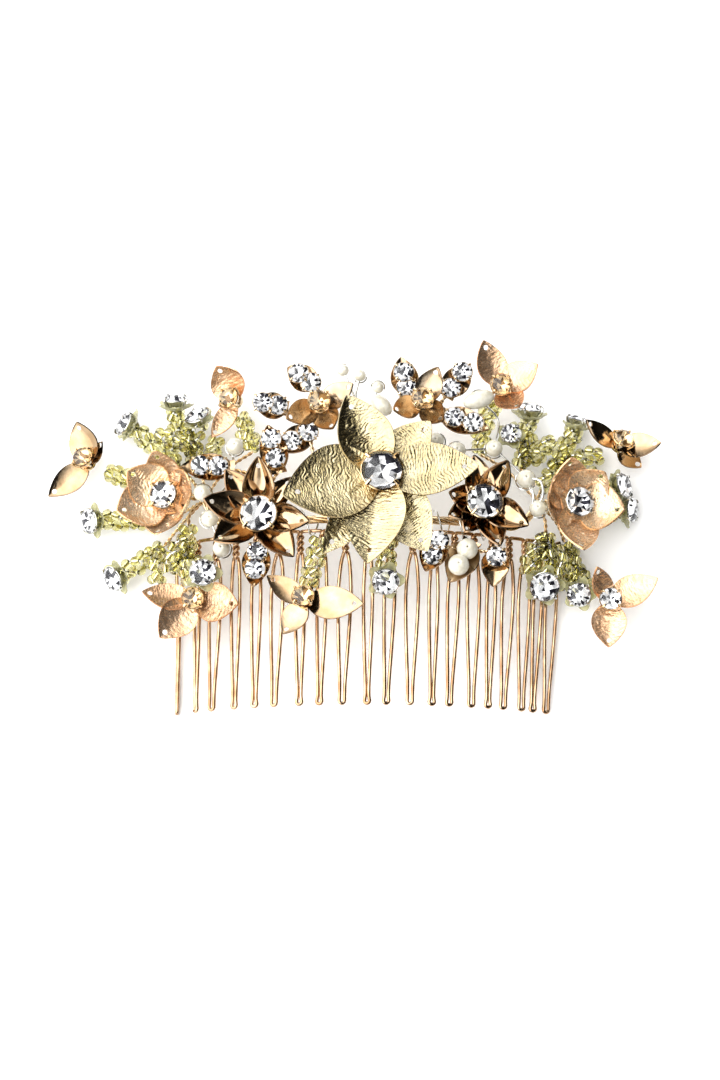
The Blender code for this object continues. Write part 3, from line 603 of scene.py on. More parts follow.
def claw_cup(piece, centre, axis, radius, finish, deep=1.0):
    """A tapered cup with claws that bend over the stone's girdle."""
    up = unit(axis)
    side, out = side_frame(up)
    centre = np.array(centre, float)
    profile = [(0.1, -0.98), (0.6, -0.98), (0.8, -0.74), (1.03, -0.24), (1.08, -0.14), (1.04, -0.08),
               (0.99, -0.14), (0.94, -0.26), (0.7, -0.76), (0.52, -0.88), (0.1, -0.88)]
    rail = [(0.82, -0.8), (1.05, -0.3), (1.13, 0.0), (1.05, 0.16), (0.86, 0.27)]
    piece.add(turned(centre, up, [(r * radius, h * radius * deep) for r, h in profile], 28, True), finish)
    for step in range(CLAWS):
        angle = 2 * math.pi * (step + 0.5) / CLAWS
        away = side * math.cos(angle) + out * math.sin(angle)
        path = smooth_path([centre + (away * r + up * (h * deep)) * radius for r, h in rail], 0.12 * radius)
        piece.add(wire(path, np.linspace(0.14, 0.1, len(path)) * radius, 7), finish)


def set_stone(piece, centre, axis, radius, crown, foil, metal_finish, deep=1.0):
    cut_stone(piece, centre, axis, radius, crown, foil, deep)
    claw_cup(piece, centre, axis, radius, metal_finish, deep)


# The comb and its stem

def comb_height(x, y):
    """Height of the comb's middle surface, a bent sheet that falls towards the tips."""
    across = x - COMB_CENTRE_X
    sagitta = COMB_RADIUS - math.sqrt(COMB_RADIUS ** 2 - across ** 2)
    return SPINE_Z - sagitta + COMB_SLOPE * (y - SPINE_Y)


def on_comb(x, y, rise=0.0):
    return np.array((x, y, comb_height(x, y) + rise))


def tooth_x(index):
    """Place of a tooth's neck: even steps round the bend, pushed along a little by the lashing."""
    step = (index - (TOOTH_COUNT - 1) / 2) * TOOTH_PITCH
    pushed = 3.0 * math.sin(math.pi * (index / (TOOTH_COUNT - 1)) ** 1.6)
    return COMB_CENTRE_X + COMB_RADIUS * math.sin(step / COMB_RADIUS) + pushed


def tooth_lean(index):
    share = index / (TOOTH_COUNT - 1)
    return -0.3 - 1.5 * share * share + 0.35 * math.sin(2.3 * index)


def tooth_route(index):
    """Down one strand of the twisted neck and one leg, round the tip, and back up the other."""
    x = tooth_x(index)
    lean = tooth_lean(index)
    neck_end = SPINE_Y - NECK_LENGTH
    tip_y = SPINE_Y - TOOTH_LENGTH
    down = []
    steps = 8 * NECK_TURNS
    for step in range(steps + 1):
        share = step / steps
        angle = math.pi + 2 * math.pi * NECK_TURNS * share
        y = SPINE_Y - 0.5 - (NECK_LENGTH - 0.5) * share
        down.append((math.cos(angle) * NECK_RADIUS, y, math.sin(angle) * NECK_RADIUS))
    spread = TOOTH_SPREAD * (1.0 + 0.2 * math.sin(4.1 * index))
    for share, width in LEG_SHAPE:
        down.append((-spread * width, neck_end + (tip_y - neck_end) * share, 0.0))
    for angle in (0.0, math.pi / 4, math.pi / 2):
        down.append((-TIP_RADIUS * math.cos(angle), tip_y + TIP_RADIUS * (1 - math.sin(angle)), 0.0))
    up = [(-offset, y, -rise) for offset, y, rise in reversed(down[:-1])]
    route = []
    for offset, y, rise in down + up:
        free = max(0.0, (neck_end - y) / (neck_end - tip_y))
        roll = tooth_roll(index) * min(1.0, 4 * free)
        across = offset * math.cos(roll) - rise * math.sin(roll)
        above = offset * math.sin(roll) + rise * math.cos(roll)
        route.append(on_comb(x + across + lean * free, y, above))
    return route


def tooth_roll(index):
    """Turn of a tooth about its own length: the first ones are bent well round."""
    return 1.3 * math.exp(-index / 2.2) + 0.25 * math.sin(2.9 * index)


def make_comb():
    route = [on_comb(tooth_x(0) - SPINE_END, SPINE_Y)]
    for index in range(TOOTH_COUNT):
        route += tooth_route(index)
    route.append(on_comb(tooth_x(TOOTH_COUNT - 1) + SPINE_END, SPINE_Y))
    path = smooth_path(route, 0.5)
    Piece("rose_gold").add(wire(path, WIRE_RADIUS, 10)).build("twisted_comb_wire", "rose_gold", "comb_wire")


def twisted(piece, route, count, reach, radius, turn, finish=0, step=0.5):
    """Several wires twisted together along a route."""
    for path in strands(route, count, reach, turn, step):
        piece.add(wire(path, radius, 8), finish)


def strands(route, count, reach, turn, step=0.3, phase=0.0, taper=1.0):
    """Paths that wind round a route, one turn in each length of turn; taper narrows their ends."""
    path = smooth_path(route, step)
    _, side, out = frames_along(path)
    run = run_along(path)
    ends = np.minimum(run, run[-1] - run)
    spread = reach * (taper + (1 - taper) * np.clip(ends / 2.5, 0, 1))
    found = []
    for index in range(count):
        angle = 2 * np.pi * (run / turn + index / count) + phase
        away = np.cos(angle)[:, None] * side + np.sin(angle)[:, None] * out
        found.append(path + spread[:, None] * away)
    return found


BRANCHES = (
    # root, the other points of each wire from it
    (LEFT_ROOT, (
        ((-34.2, 11.4, 5), (-37, 13.4, 3.3)), ((-34.6, 8.4, 4.6), (-37, 7.7, 3.3)),
        ((-34, 14, 5), (-37.2, 17.6, 4.1)), ((-31.7, 12.2, 6.8), (-31.9, 14.9, 6.3)),
        ((-27.4, 15.4, 8), (-21.8, 19.1, 9.1)), ((-36.4, 4.6, 5.6), (-39.8, 0.9, 3.4)),
        ((-34.2, 6.6, 8.2), (-34.5, 3.9, 8.6)))),
    (RIGHT_ROOT, (
        ((36.8, 5.4, 8), (37, 2.5, 8.2)), ((39.4, 5.2, 5.6), (41, 1.5, 4.5)),
        ((33.2, 13.2, 7.2), (32.3, 16.3, 7.4)), ((29.4, 15.4, 8), (24.2, 18.7, 8.5)),
        ((36, 11, 6.4), (36.5, 12.2, 5.7)), ((38.6, 8.8, 5.4), (41.3, 8.8, 4.1)))),
)


def make_stem():
    """The bundle of stem wires beside the spine, which fans out into branches at each end."""
    trunk = [LEFT_ROOT, (-29.5, 6.0, 7.6)]
    for step in range(9):
        trunk.append(on_comb(-26.0 + 7.0 * step, STEM_Y))
    trunk += [(33.8, 6.0, 7.6), RIGHT_ROOT]
    piece = Piece("bright_gold")
    twisted(piece, trunk, **TRUNK)
    for root, ways in BRANCHES:
        for way in ways:
            twisted(piece, (root, *way), **BRANCH)
    piece.build("stem_wires", "bright_gold", "spray_stem")


def make_lashing():
    """Fine wire wound round spine and stem, one turn between each two teeth."""
    turn_steps = 12
    middle_y = (SPINE_Y + STEM_Y + STEM_RADIUS - WIRE_RADIUS) / 2
    route = []
    for step in range((LAST_LASHED - FIRST_LASHED) * turn_steps + 1):
        turns = step / turn_steps
        low = int(min(FIRST_LASHED + turns, LAST_LASHED - 1))
        share = FIRST_LASHED + turns - low
        x = tooth_x(low) * (1 - share) + tooth_x(low + 1) * share
        angle = 2 * math.pi * turns
        y = middle_y + LASHING_REACH[0] * math.cos(angle)
        route.append(on_comb(x, y, LASHING_REACH[1] * math.sin(angle)))
    piece = Piece("silver_wire").add(wire(smooth_path(route, 0.4), LASHING_RADIUS - 0.05, 8))
    piece.build("lashing_wire", "silver_wire", "spine_lashing")


# Flowers

def drop_wire(piece, hub):
    """A stem of two twisted wires from a flower's hub down to just above the lashed stem."""
    hub = np.array(hub, float)
    foot = on_comb(hub[0], STEM_Y, STEM_RADIUS + 2 * LASHING_RADIUS + 0.9)
    twisted(piece, [hub, 0.5 * (hub + foot), foot], **STALK)


def hub_disc(piece, centre, axis, radius):
    """The small domed washer that joins the petals."""
    profile = [(0.1, -0.4), (radius, -0.35), (radius * 1.04, 0.0), (radius, 0.3), (0.5 * radius, 0.45),
               (0.1, 0.4)]
    piece.add(turned(centre, axis, profile, loop=True))


BIG_AXIS = (0.05, 0.05, 1.0)
BIG_HUB = (4.1, 11.2)
FINE_CRIMP = {"spacing": 0.14, "grain": 0.085, "pitch": 0.6}
COARSE_CRIMP = {"spacing": 0.16, "grain": 0.13, "pitch": 0.9}
BIG_FLOWER = (
    # name, node, height of its hub, (tip, width, arch, cup, facing, crease, crimp) of each petal
    ("big_flower_rear_petals", "big_flower_back_petals", 18.6, (
        ((13.7, 21.9, 20.4), 9.5, -0.6, 0.06, (-0.16, 0, 1), 0.16, FINE_CRIMP),
        ((13, -4, 18.2), 11, -0.2, 0.05, (-0.18, 0, 1), 0.12, FINE_CRIMP),
        ((-7.4, -4.6, 18.7), 8, -0.1, 0.08, (0.2, 0, 1), 0.1, FINE_CRIMP))),
    ("big_flower_top_petals", "big_flower_front_petals", 20.3, (
        ((-2.9, 26.3, 23.5), 10.8, -0.6, 0.3, (0, 0, 1), 0.05, COARSE_CRIMP),
        ((-15.2, 6.3, 22.2), 15, -0.4, 0.22, (0, 0, 1), 0.05, FINE_CRIMP),
        ((1.2, -7.3, 21.4), 12.3, -0.3, 0.05, (-0.15, 0, 1), 0.22, FINE_CRIMP),
        ((23, 12, 23.2), 10.5, -0.4, 0.08, (0, -0.09, 1), 0.25, FINE_CRIMP))),
)


def make_big_flower():
    """The olive-gold flower: three petals behind four, and a large crystal in a claw cup."""
    seed = 1
    for name, node, height, petals in BIG_FLOWER:
        hub = np.array((*BIG_HUB, height))
        piece = Piece("olive_gold")
        hub_disc(piece, hub, BIG_AXIS, 3.2)
        for tip, width, arch, cup, facing, crease, crimp in petals:
            piece.add(petal(hub, tip, width, arch, cup, facing, crease=crease, seed=seed, **crimp))
            seed += 1
        if node == "big_flower_back_petals":
            drop_wire(piece, hub)
        piece.build(name, "olive_gold", node)
    make_large_stone("big_flower", hub + BIG_RISE * UP, BIG_AXIS, BIG_STONE, "bright_gold")


def make_large_stone(name, centre, axis, radius, cup_finish):
    cup = Piece(cup_finish)
    claw_cup(cup, centre, axis, radius, 0, CUP_DEPTH)
    cup.build(name + "_claw_cup", "bright_gold", name + "_setting")
    gem = Piece("crystal", "foil")
    cut_stone(gem, centre, axis, radius, 0, 1, 0.85 if radius > TULIP_STONE else 0.8)
    gem.build(name + "_brilliant", "crystal", name + "_crystal")


GOLD_FLOWERS = (
    # name, hub, axis, (tip, width, cup) of each petal
    ("left_gold_flower", (-20, 3.9, 14.9), (-0.05, 0, 1), (
        ((-10.2, 2.4, 17), 6, 0.35), ((-13.2, -4.6, 16.4), 6.5, 0.35),
        ((-29, -1.2, 15.8), 7, 0.35), ((-31, 7, 17.2), 6.6, 0.35),
        ((-26.8, 13.2, 16.6), 6, 0.35), ((-20.3, 15.6, 17.4), 6.4, 0.35),
        ((-13.6, 11.8, 15.8), 5, 0.35))),
    ("right_gold_flower", (24, 6.4, 13.9), (0.15, 0.1, 1), (
        ((22.4, 16, 17), 6, 0.4), ((29.1, 15, 16.6), 6, 0.4),
        ((33, 2, 15.4), 6.6, 0.35), ((27.3, -2.4, 16.2), 6, 0.3),
        ((20.4, 0.6, 15.8), 5.4, 0.45), ((17.2, 3.6, 17), 5.2, 0.4), ((17.4, 8.6, 16.2), 6, 0.3))),
)


def make_gold_flowers():
    """Polished flowers: cupped pointed petals round a large crystal."""
    for name, hub, axis, tips in GOLD_FLOWERS:
        up = unit(axis)
        piece = Piece("bright_gold")
        hub_disc(piece, hub, up, 2.8)
        for number, (tip, width, cup) in enumerate(tips):
            piece.add(petal(hub, tip, width, -0.7, cup + 0.12, up, spacing=0.25, crease=0.1, ripple=0.16,
                            grain=0.012, pitch=1.6, seed=number + 3))
        drop_wire(piece, hub)
        piece.build(name + "_cupped_petals", "bright_gold", name + "_petals")
        make_large_stone(name, hub + up * LARGE_RISE, up, LARGE_STONE, "bright_gold")


TULIPS = (
    # name, hub, axis, foot of its wire, metal of its cup, (tip, width, arch) of each petal
    ("left_tulip", (-38.8, 9.8, 8.6), (-0.35, -0.05, 1), (-33, 9.6, 7.8), "bright_gold", (
        ((-48.7, 6.2, 11), 10.5, -1.4), ((-46.8, 14.4, 11.6), 9, -1.5),
        ((-41.5, 18.4, 12.2), 8, -1.9), ((-34.6, 12.6, 14.4), 7.5, -2.4),
        ((-41, 1.2, 11.4), 9, -1.7), ((-34.8, 6.6, 13.8), 7.5, -2.4))),
    ("right_tulip", (43, 8.4, 8.4), (0.35, -0.05, 1), (37, 9.3, 7.5), "silver_wire", (
        ((42, 16.6, 13.4), 8.5, -2.2), ((48.8, 14, 11.8), 9, -1.8),
        ((52.6, 6.6, 10.6), 10, -1.4), ((44.2, -2, 11.8), 9, -1.8),
        ((37.2, 6, 14.4), 8.5, -2.4), ((38.4, 12.4, 14.4), 7.5, -2.4))),
)


def make_tulips():
    """Satin flowers with deep petals that close round their crystals."""
    for name, hub, axis, foot, cup_finish, tips in TULIPS:
        up = unit(axis)
        piece = Piece("tulip_satin", "bright_gold")
        hub_disc(piece, hub, up, 2.4)
        twisted(piece, [hub, foot], **STALK, finish=1)
        for number, (tip, width, arch) in enumerate(tips):
            piece.add(petal(hub, tip, width, arch, 0.28, up, 0.8, spacing=0.16, grain=0.09, pitch=0.7,
                            seed=number + 11))
        piece.build(name + "_satin_petals", "peach_satin", name + "_petals")
        make_large_stone(name, hub + up * TULIP_RISE, up, TULIP_STONE, cup_finish)


THREE_PETAL_FLOWERS = (
    # name, slot, hub, facing, stone, (tip, width, arch, lean of its face in x and y) of each petal
    ("far_left_flower", "bright_gold", (-55.4, 17.9, 4.8), (-0.35, 0.25, 0.9), "champagne",
     (((-57.8, 26, 7.4), 7, -0.8, -0.6, -0.05), ((-63.4, 11.2, 4.2), 5.5, -0.6, 0.1, 0),
      ((-52.4, 21.6, 8), 3.6, -0.5, -0.35, 0.25))),
    ("top_left_flower", "peach_satin", (-25.4, 30, 8.6), (-0.5, 0, 0.85), "champagne",
     (((-29.2, 36.2, 12.4), 7.4, -1, -0.5, -0.1), ((-27.5, 38.8, 6), 5, -1, -0.5, 0.2),
      ((-30.2, 22.4, 8.4), 4.2, -0.6, -0.1, -0.1))),
    ("bottom_left_flower", "peach_satin", (-33.2, -11.6, 8.6), (0, -0.05, 1), "champagne",
     (((-43.4, -9.8, 9), 6, -0.6, 0.15, 0.3), ((-39.7, -19.2, 8.8), 7.6, -0.5, 0.15, -0.2),
      ((-24.2, -13, 11.6), 8, -0.6, -0.4, 0))),
    ("bottom_gold_flower", "bright_gold", (-11, -13.4, 15.4), (-0.1, 0.2, 1), "champagne",
     (((-18.4, -8.2, 15.4), 4.6, -0.5, -0.2, 0.1), ((-15.2, -19.8, 15.2), 5.4, -0.5, -0.35, 0),
      ((0.4, -14.6, 18.6), 6.6, -0.6, -0.4, 0))),
    ("top_left_rose_flower", "rose_gold", (-8.4, 27.4, 13.6), (0, 0.1, 1), "champagne",
     (((-14.9, 23.8, 16.4), 5.4, -0.7, 0.2, -0.1), ((-5.6, 22, 15.4), 5.6, -0.7, -0.3, 0.1),
      ((-1.6, 31, 16.8), 5.4, -0.7, 0.2, 0.2))),
    ("top_right_rose_flower", "rose_gold", (12, 27.6, 14.4), (0.1, 0.1, 1), "champagne",
     (((6.4, 25.6, 16.6), 5, -0.7, 0.1, 0), ((16.4, 23.4, 16.2), 5.2, -0.7, -0.3, 0),
      ((15.4, 34.2, 17.6), 5.4, -0.8, 0.1, 0.2))),
    ("top_right_flower", "peach_satin", (28.2, 32, 11.4), (0, -0.1, 1), "champagne",
     (((24.8, 41.4, 13.4), 6.4, -0.8, 0.1, 0.1), ((35.6, 36.2, 13.8), 7, -0.6, -0.5, 0),
      ((31.6, 26.6, 15), 6.2, -0.9, -0.1, 0.2))),
    ("far_right_flower", "bright_gold", (52.4, 21.4, 5.2), (0.3, 0.35, 0.85), "champagne",
     (((45.6, 26, 8.8), 4.2, -0.7, 0.2, 0.1), ((60.8, 21.6, 7.4), 5.6, -0.5, -0.4, 0.2),
      ((57.2, 17.6, 3.4), 4.4, -0.7, 0.3, -0.2))),
    ("bottom_right_flower", "peach_satin", (49.4, -11.4, 7), (0, -0.05, 1), "crystal",
     (((46.8, -5.2, 10.6), 4.6, -0.8, 0.2, 0.1), ((59, -7, 8.8), 6.6, -0.6, -0.2, 0.1),
      ((49, -20.8, 7.6), 7, -0.6, -0.1, 0.1))),
)
PETAL_FINISH = {"bright_gold": "bright_gold", "peach_satin": "peach_satin", "rose_gold": "rose_petal"}
PETAL_GRAIN = {"bright_gold": 0.01, "peach_satin": 0.06, "rose_gold": 0.012}
FOIL_BEHIND = {"crystal": "foil", "champagne": "champagne_foil"}


def make_three_petal_flowers():
    for name, slot, hub, facing, gem, tips in THREE_PETAL_FLOWERS:
        up = unit(facing)
        centre = hub + up * SMALL_RISE
        piece = Piece(PETAL_FINISH[slot], "bright_gold")
        hub_disc(piece, hub, up, 1.5)
        for number, (tip, width, arch, lean_x, lean_y) in enumerate(tips):
            face = (lean_x, lean_y, 1.0)
            piece.add(petal(hub, tip, width, arch, 0.14, face, 0.4, spacing=0.2, crease=0.06,
                            grain=PETAL_GRAIN[slot], seed=number + len(name)))
        claw_cup(piece, centre, up, SMALL_STONE, 1, 1.1)
        piece.build(name + "_stamped_petals", slot, name + "_petals")
        stone = Piece(gem, FOIL_BEHIND[gem])
        cut_stone(stone, centre, up, SMALL_STONE, 0, 1)
        stone.build(name + "_chaton", gem, name + "_stone")


# Leaves and pearls

def leaf(piece, base, tip, gems, seed, width=5.6, pearls=False):
    """A navette leaf with stones or pearls set in a row along it; gems are shares of its length."""
    base = np.array(base)
    run = np.array(tip) - base
    piece.add(petal(base, tip, width, -0.3, 0.25, base=0.6, spacing=0.2, grain=0.03, pitch=1.3,
                    seed=seed, hole=0.0), 0)
    for share in gems:
        seat = base + run * share + LEAF_SEAT * UP
        if pearls:
            piece.add(pearl(seat, LEAF_PEARL), 3)
        else:
            set_stone(piece, seat, UP, LEAF_STONE, 1, 2, 0, 0.7)


LEAF_GROUPS = (
    # name, slot, (base, tip, shares of its gems, and its width and pearls if they differ from
    # leaf()'s own) of each leaf, routes of the group's wires
    ("leaves_left", "bright_gold", (
        ((-25.2, 14.6, 12.6), (-36, 14.9, 12.8), (0.3, 0.62)),
        ((-16.4, 13.6, 12.2), (-18.6, 23, 14.6), (0.28, 0.68))), (
        ((-16.2, 14.6, 12.2), (-18.4, 11.8, 12), (-22, 13.4, 12.2), (-26.6, 14.7, 12.4)),)),
    ("leaf_low_left", "bright_gold", (
        ((-20.2, -1.2, 13.2), (-21.1, -10.2, 14.4), (0.22, 0.62)),), (
        ((-20.3, -2, 13.1), (-20, 1.2, 13.5)),)),
    ("leaves_top_left", "rose_gold", (
        ((-8.9, 31.3, 12.8), (-14.8, 35.6, 13.6), (0.2, 0.62)),
        ((-14.6, 27, 12.6), (-21.6, 28, 13.8), (0.3, 0.72)),
        ((-9.4, 22.8, 12), (-16.8, 18.4, 12), (0.16, 0.6))), (
        ((-10.6, 22.2, 11.9), (-11.4, 25, 11.6), (-15.6, 27.1, 12.5)),
        ((-11.4, 24.6, 11.6), (-10.2, 28, 11.6), (-9.8, 32.2, 12.8)),
        ((-11, 24.8, 11.6), (-9.2, 16, 13.4), (-8, 9, 14.6)))),
    ("leaves_top_right", "rose_gold", (
        ((9.4, 29.6, 12.9), (8, 37.6, 14), (0.18, 0.56)),
        ((17, 29.4, 13), (21.8, 36.2, 13.8), (0.22, 0.7)),
        ((15.8, 26, 12.2), (25.6, 22.6, 13.2), (0.3, 0.68))), (
        ((9.2, 30.8, 12.9), (12.6, 27, 12), (17.2, 25.6, 12.3)),
        ((14.8, 26.4, 12.1), (15.8, 28, 12.2), (17.8, 30.8, 13)),
        ((12.6, 27, 12), (11.6, 17, 13.6), (10.4, 9, 14.2)))),
    ("leaves_bottom_right", "bright_gold", (
        ((15.6, -0.4, 15.2), (12.6, -7.4, 15.8), (0.14, 0.56)),
        ((22, -0.6, 13.4), (17.4, -9.2, 14), (0.24, 0.62), 6.6, True),
        ((26.9, -1.8, 12.2), (26, -9.8, 12.8), (0.26,))), (
        ((15.2, -1.4, 15), (18, -2.2, 13.9), (21.4, -1.8, 13.3)),
        ((21, -2.4, 13.3), (24, -2.6, 12.7), (27, -2.8, 12.1)))),
)


def make_leaves():
    """The leaves hang on wires that are led down to the lashed stem."""
    for name, slot, leaves, wires in LEAF_GROUPS:
        piece = Piece(PETAL_FINISH[slot], "crystal", "foil", "pearl")
        for number, (base, tip, gems, *special) in enumerate(leaves):
            leaf(piece, base, tip, gems, number + len(name), *special)
        for route in wires:
            twisted(piece, route, **STALK)
        piece.build(name + "_navettes", slot, name)


PEARL_GROUPS = (
    # name, (route of its wire, radius, and stretch and axis of a drop) of each pearl, routes of plain wires
    ("pearls_left", (
        (((-29, 8.8, 11), (-31.6, 9.4, 12.6)), 1.7),
        (((-29, 8.8, 11), (-30, 4.2, 12.2)), 1.7),
        (((-30, 4.2, 12.2), (-27.6, -2, 12.8)), 1.7),
        (((-29, 8.8, 11), (-26.6, 12.6, 9.6), (-25.2, 19.2, 12.6)), 1.7)), ()),
    ("pearls_top", (
        (((1.2, 24, 13.6), (-1, 28.6, 13.2), (-0.2, 33.8, 13.6)), 1.2),
        (((-1, 28.6, 13.2), (-3.6, 35.2, 12.8)), 1.2),
        (((1.2, 24, 13.6), (4, 27.4, 14)), 1.7, 1.6, (1, -1, 0.2)),
        (((1.2, 24, 13.6), (3.4, 31.4, 13.2)), 1.2)),
     (((1.2, 24.4, 13.6), (2.6, 15, 14.6)),)),
    ("pearls_right", (
        (((16.6, 14, 13.4), (14.8, 19.4, 15.4)), 1.7),
        (((16.6, 14, 13.4), (19.2, 17.8, 14.2)), 1.7),
        (((19.2, 17.8, 14.2), (26.6, 18.6, 13)), 1.7),
        (((26.6, 18.6, 13), (27.6, 25.4, 10.6), (23.6, 28.4, 14.4)), 1.8, 1.8, (1, 0.3, 0)),
        (((26.6, 18.6, 13), (33, 12.6, 11.8)), 1.9),
        (((33, 12.6, 11.8), (35.1, 6.4, 12.2)), 1.7)), (
        ((33, 12.6, 12.4), (35.6, 11.6, 13.6), (36.1, 8.8, 13.4), (34.9, 6.4, 12.6)),
        ((33.4, 12.2, 11.4), (34.2, 9, 13.4), (33.8, 5.6, 12.4)))),
)


def make_pearls():
    for name, pearls, wires in PEARL_GROUPS:
        piece = Piece("pearl", "silver_wire")
        for route, radius, *drop in pearls:
            piece.add(pearl(route[-1], radius, *drop))
            piece.add(wire(smooth_path(route, 0.4), 0.22), 1)
            wire_loop(piece, route[-1], radius)
        for route in wires:
            piece.add(wire(smooth_path(route, 0.4), STEM_WIRE), 1)
        piece.build(name + "_threaded", "pearl", name)


def wire_loop(piece, centre, radius):
    """The wire that comes out of a pearl and bends back round it."""
    centre = np.array(centre, float)
    swing = 2 * math.pi * chance.random()
    loop = []
    for step in range(9):
        angle = swing + math.pi * step / 8
        reach = (radius + 0.16) * (1 + 0.08 * math.sin(math.pi * step / 8))
        loop.append(centre + np.array((reach * math.cos(angle), reach * math.sin(angle), -0.3)))
    piece.add(wire(smooth_path(loop, 0.3), 0.15, 6), 1)


# Bead sprigs

def seed_bead(piece, centre, axis, radius, length):
    """A round glass bead with a silver-lined hole."""
    hole = 0.3 * radius
    half = 0.5 * length
    profile = [(hole, -0.86 * half), (0.55 * radius, -half), (0.86 * radius, -0.72 * half),
               (radius, -0.2 * half), (radius, 0.2 * half), (0.86 * radius, 0.72 * half),
               (0.55 * radius, half), (hole, 0.86 * half)]
    piece.add(turned(centre, axis, profile, BEAD_SIDES, True))
    piece.repaint(BEAD_SIDES, 1)


def bead_strands(piece, route, phase):
    """Strands of seed beads twisted together along a route."""
    for path in strands(route, STRAND_COUNT, STRAND_REACH, STRAND_TURN, 0.2, phase, 0.8):
        run = run_along(path)
        piece.add(wire(path, 0.12, 5), 2)
        number = int((run[-1] - 0.4) / (BEAD_LENGTH + BEAD_GAP))
        for index in range(number):
            place = 0.6 + (run[-1] - 1.2) * index / max(number - 1, 1)
            centre = np.array([np.interp(place, run, path[:, axis]) for axis in range(3)])
            ahead = np.array([np.interp(place + 0.3, run, path[:, axis]) for axis in range(3)])
            jitter = np.array([chance.uniform(-0.1, 0.1) for _ in range(3)])
            lean = np.array([chance.uniform(-0.12, 0.12) for _ in range(3)])
            size = BEAD_RADIUS * chance.uniform(0.93, 1.06)
            seed_bead(piece, centre + jitter, ahead - centre + 0.3 * lean, size, BEAD_LENGTH)


def sequin(piece, centre, axis, radius):
    """A cupped flower-shaped sequin with five lobes."""
    up = unit(axis)
    side, out = side_frame(up)
    rings, sides = 9, 60
    share = np.repeat(np.linspace(0.12, 1.0, rings), sides)
    angle = np.tile(2 * np.pi * np.arange(sides) / sides, rings)
    lobes = 1 + share ** 2 * (0.16 * np.cos(5 * angle) - 0.06)
    reach = radius * share * lobes
    rise = 0.34 * share ** 2 + 0.05 * share * np.cos(5 * angle) + 0.03 * np.cos(15 * angle) * share - 0.15
    points = np.array(centre, float) + np.outer(radius * rise, up)
    points += reach[:, None] * circle(angle, side, out)
    count = len(points)
    form = thicken(points, quads(rings, sides, True), 0.16, np.zeros(count), points, np.ones(count))
    piece.add(form, 5)


def crystal_end(piece, end, axis, radius):
    """The crystal in silver claws on its sequin, at the end of a sprig."""
    up = unit(axis)
    end = np.array(end, float)
    sequin(piece, end, up, 1.4 * radius)
    set_stone(piece, end + up * (0.8 * radius), up, radius, 3, 4, 2, 0.75)


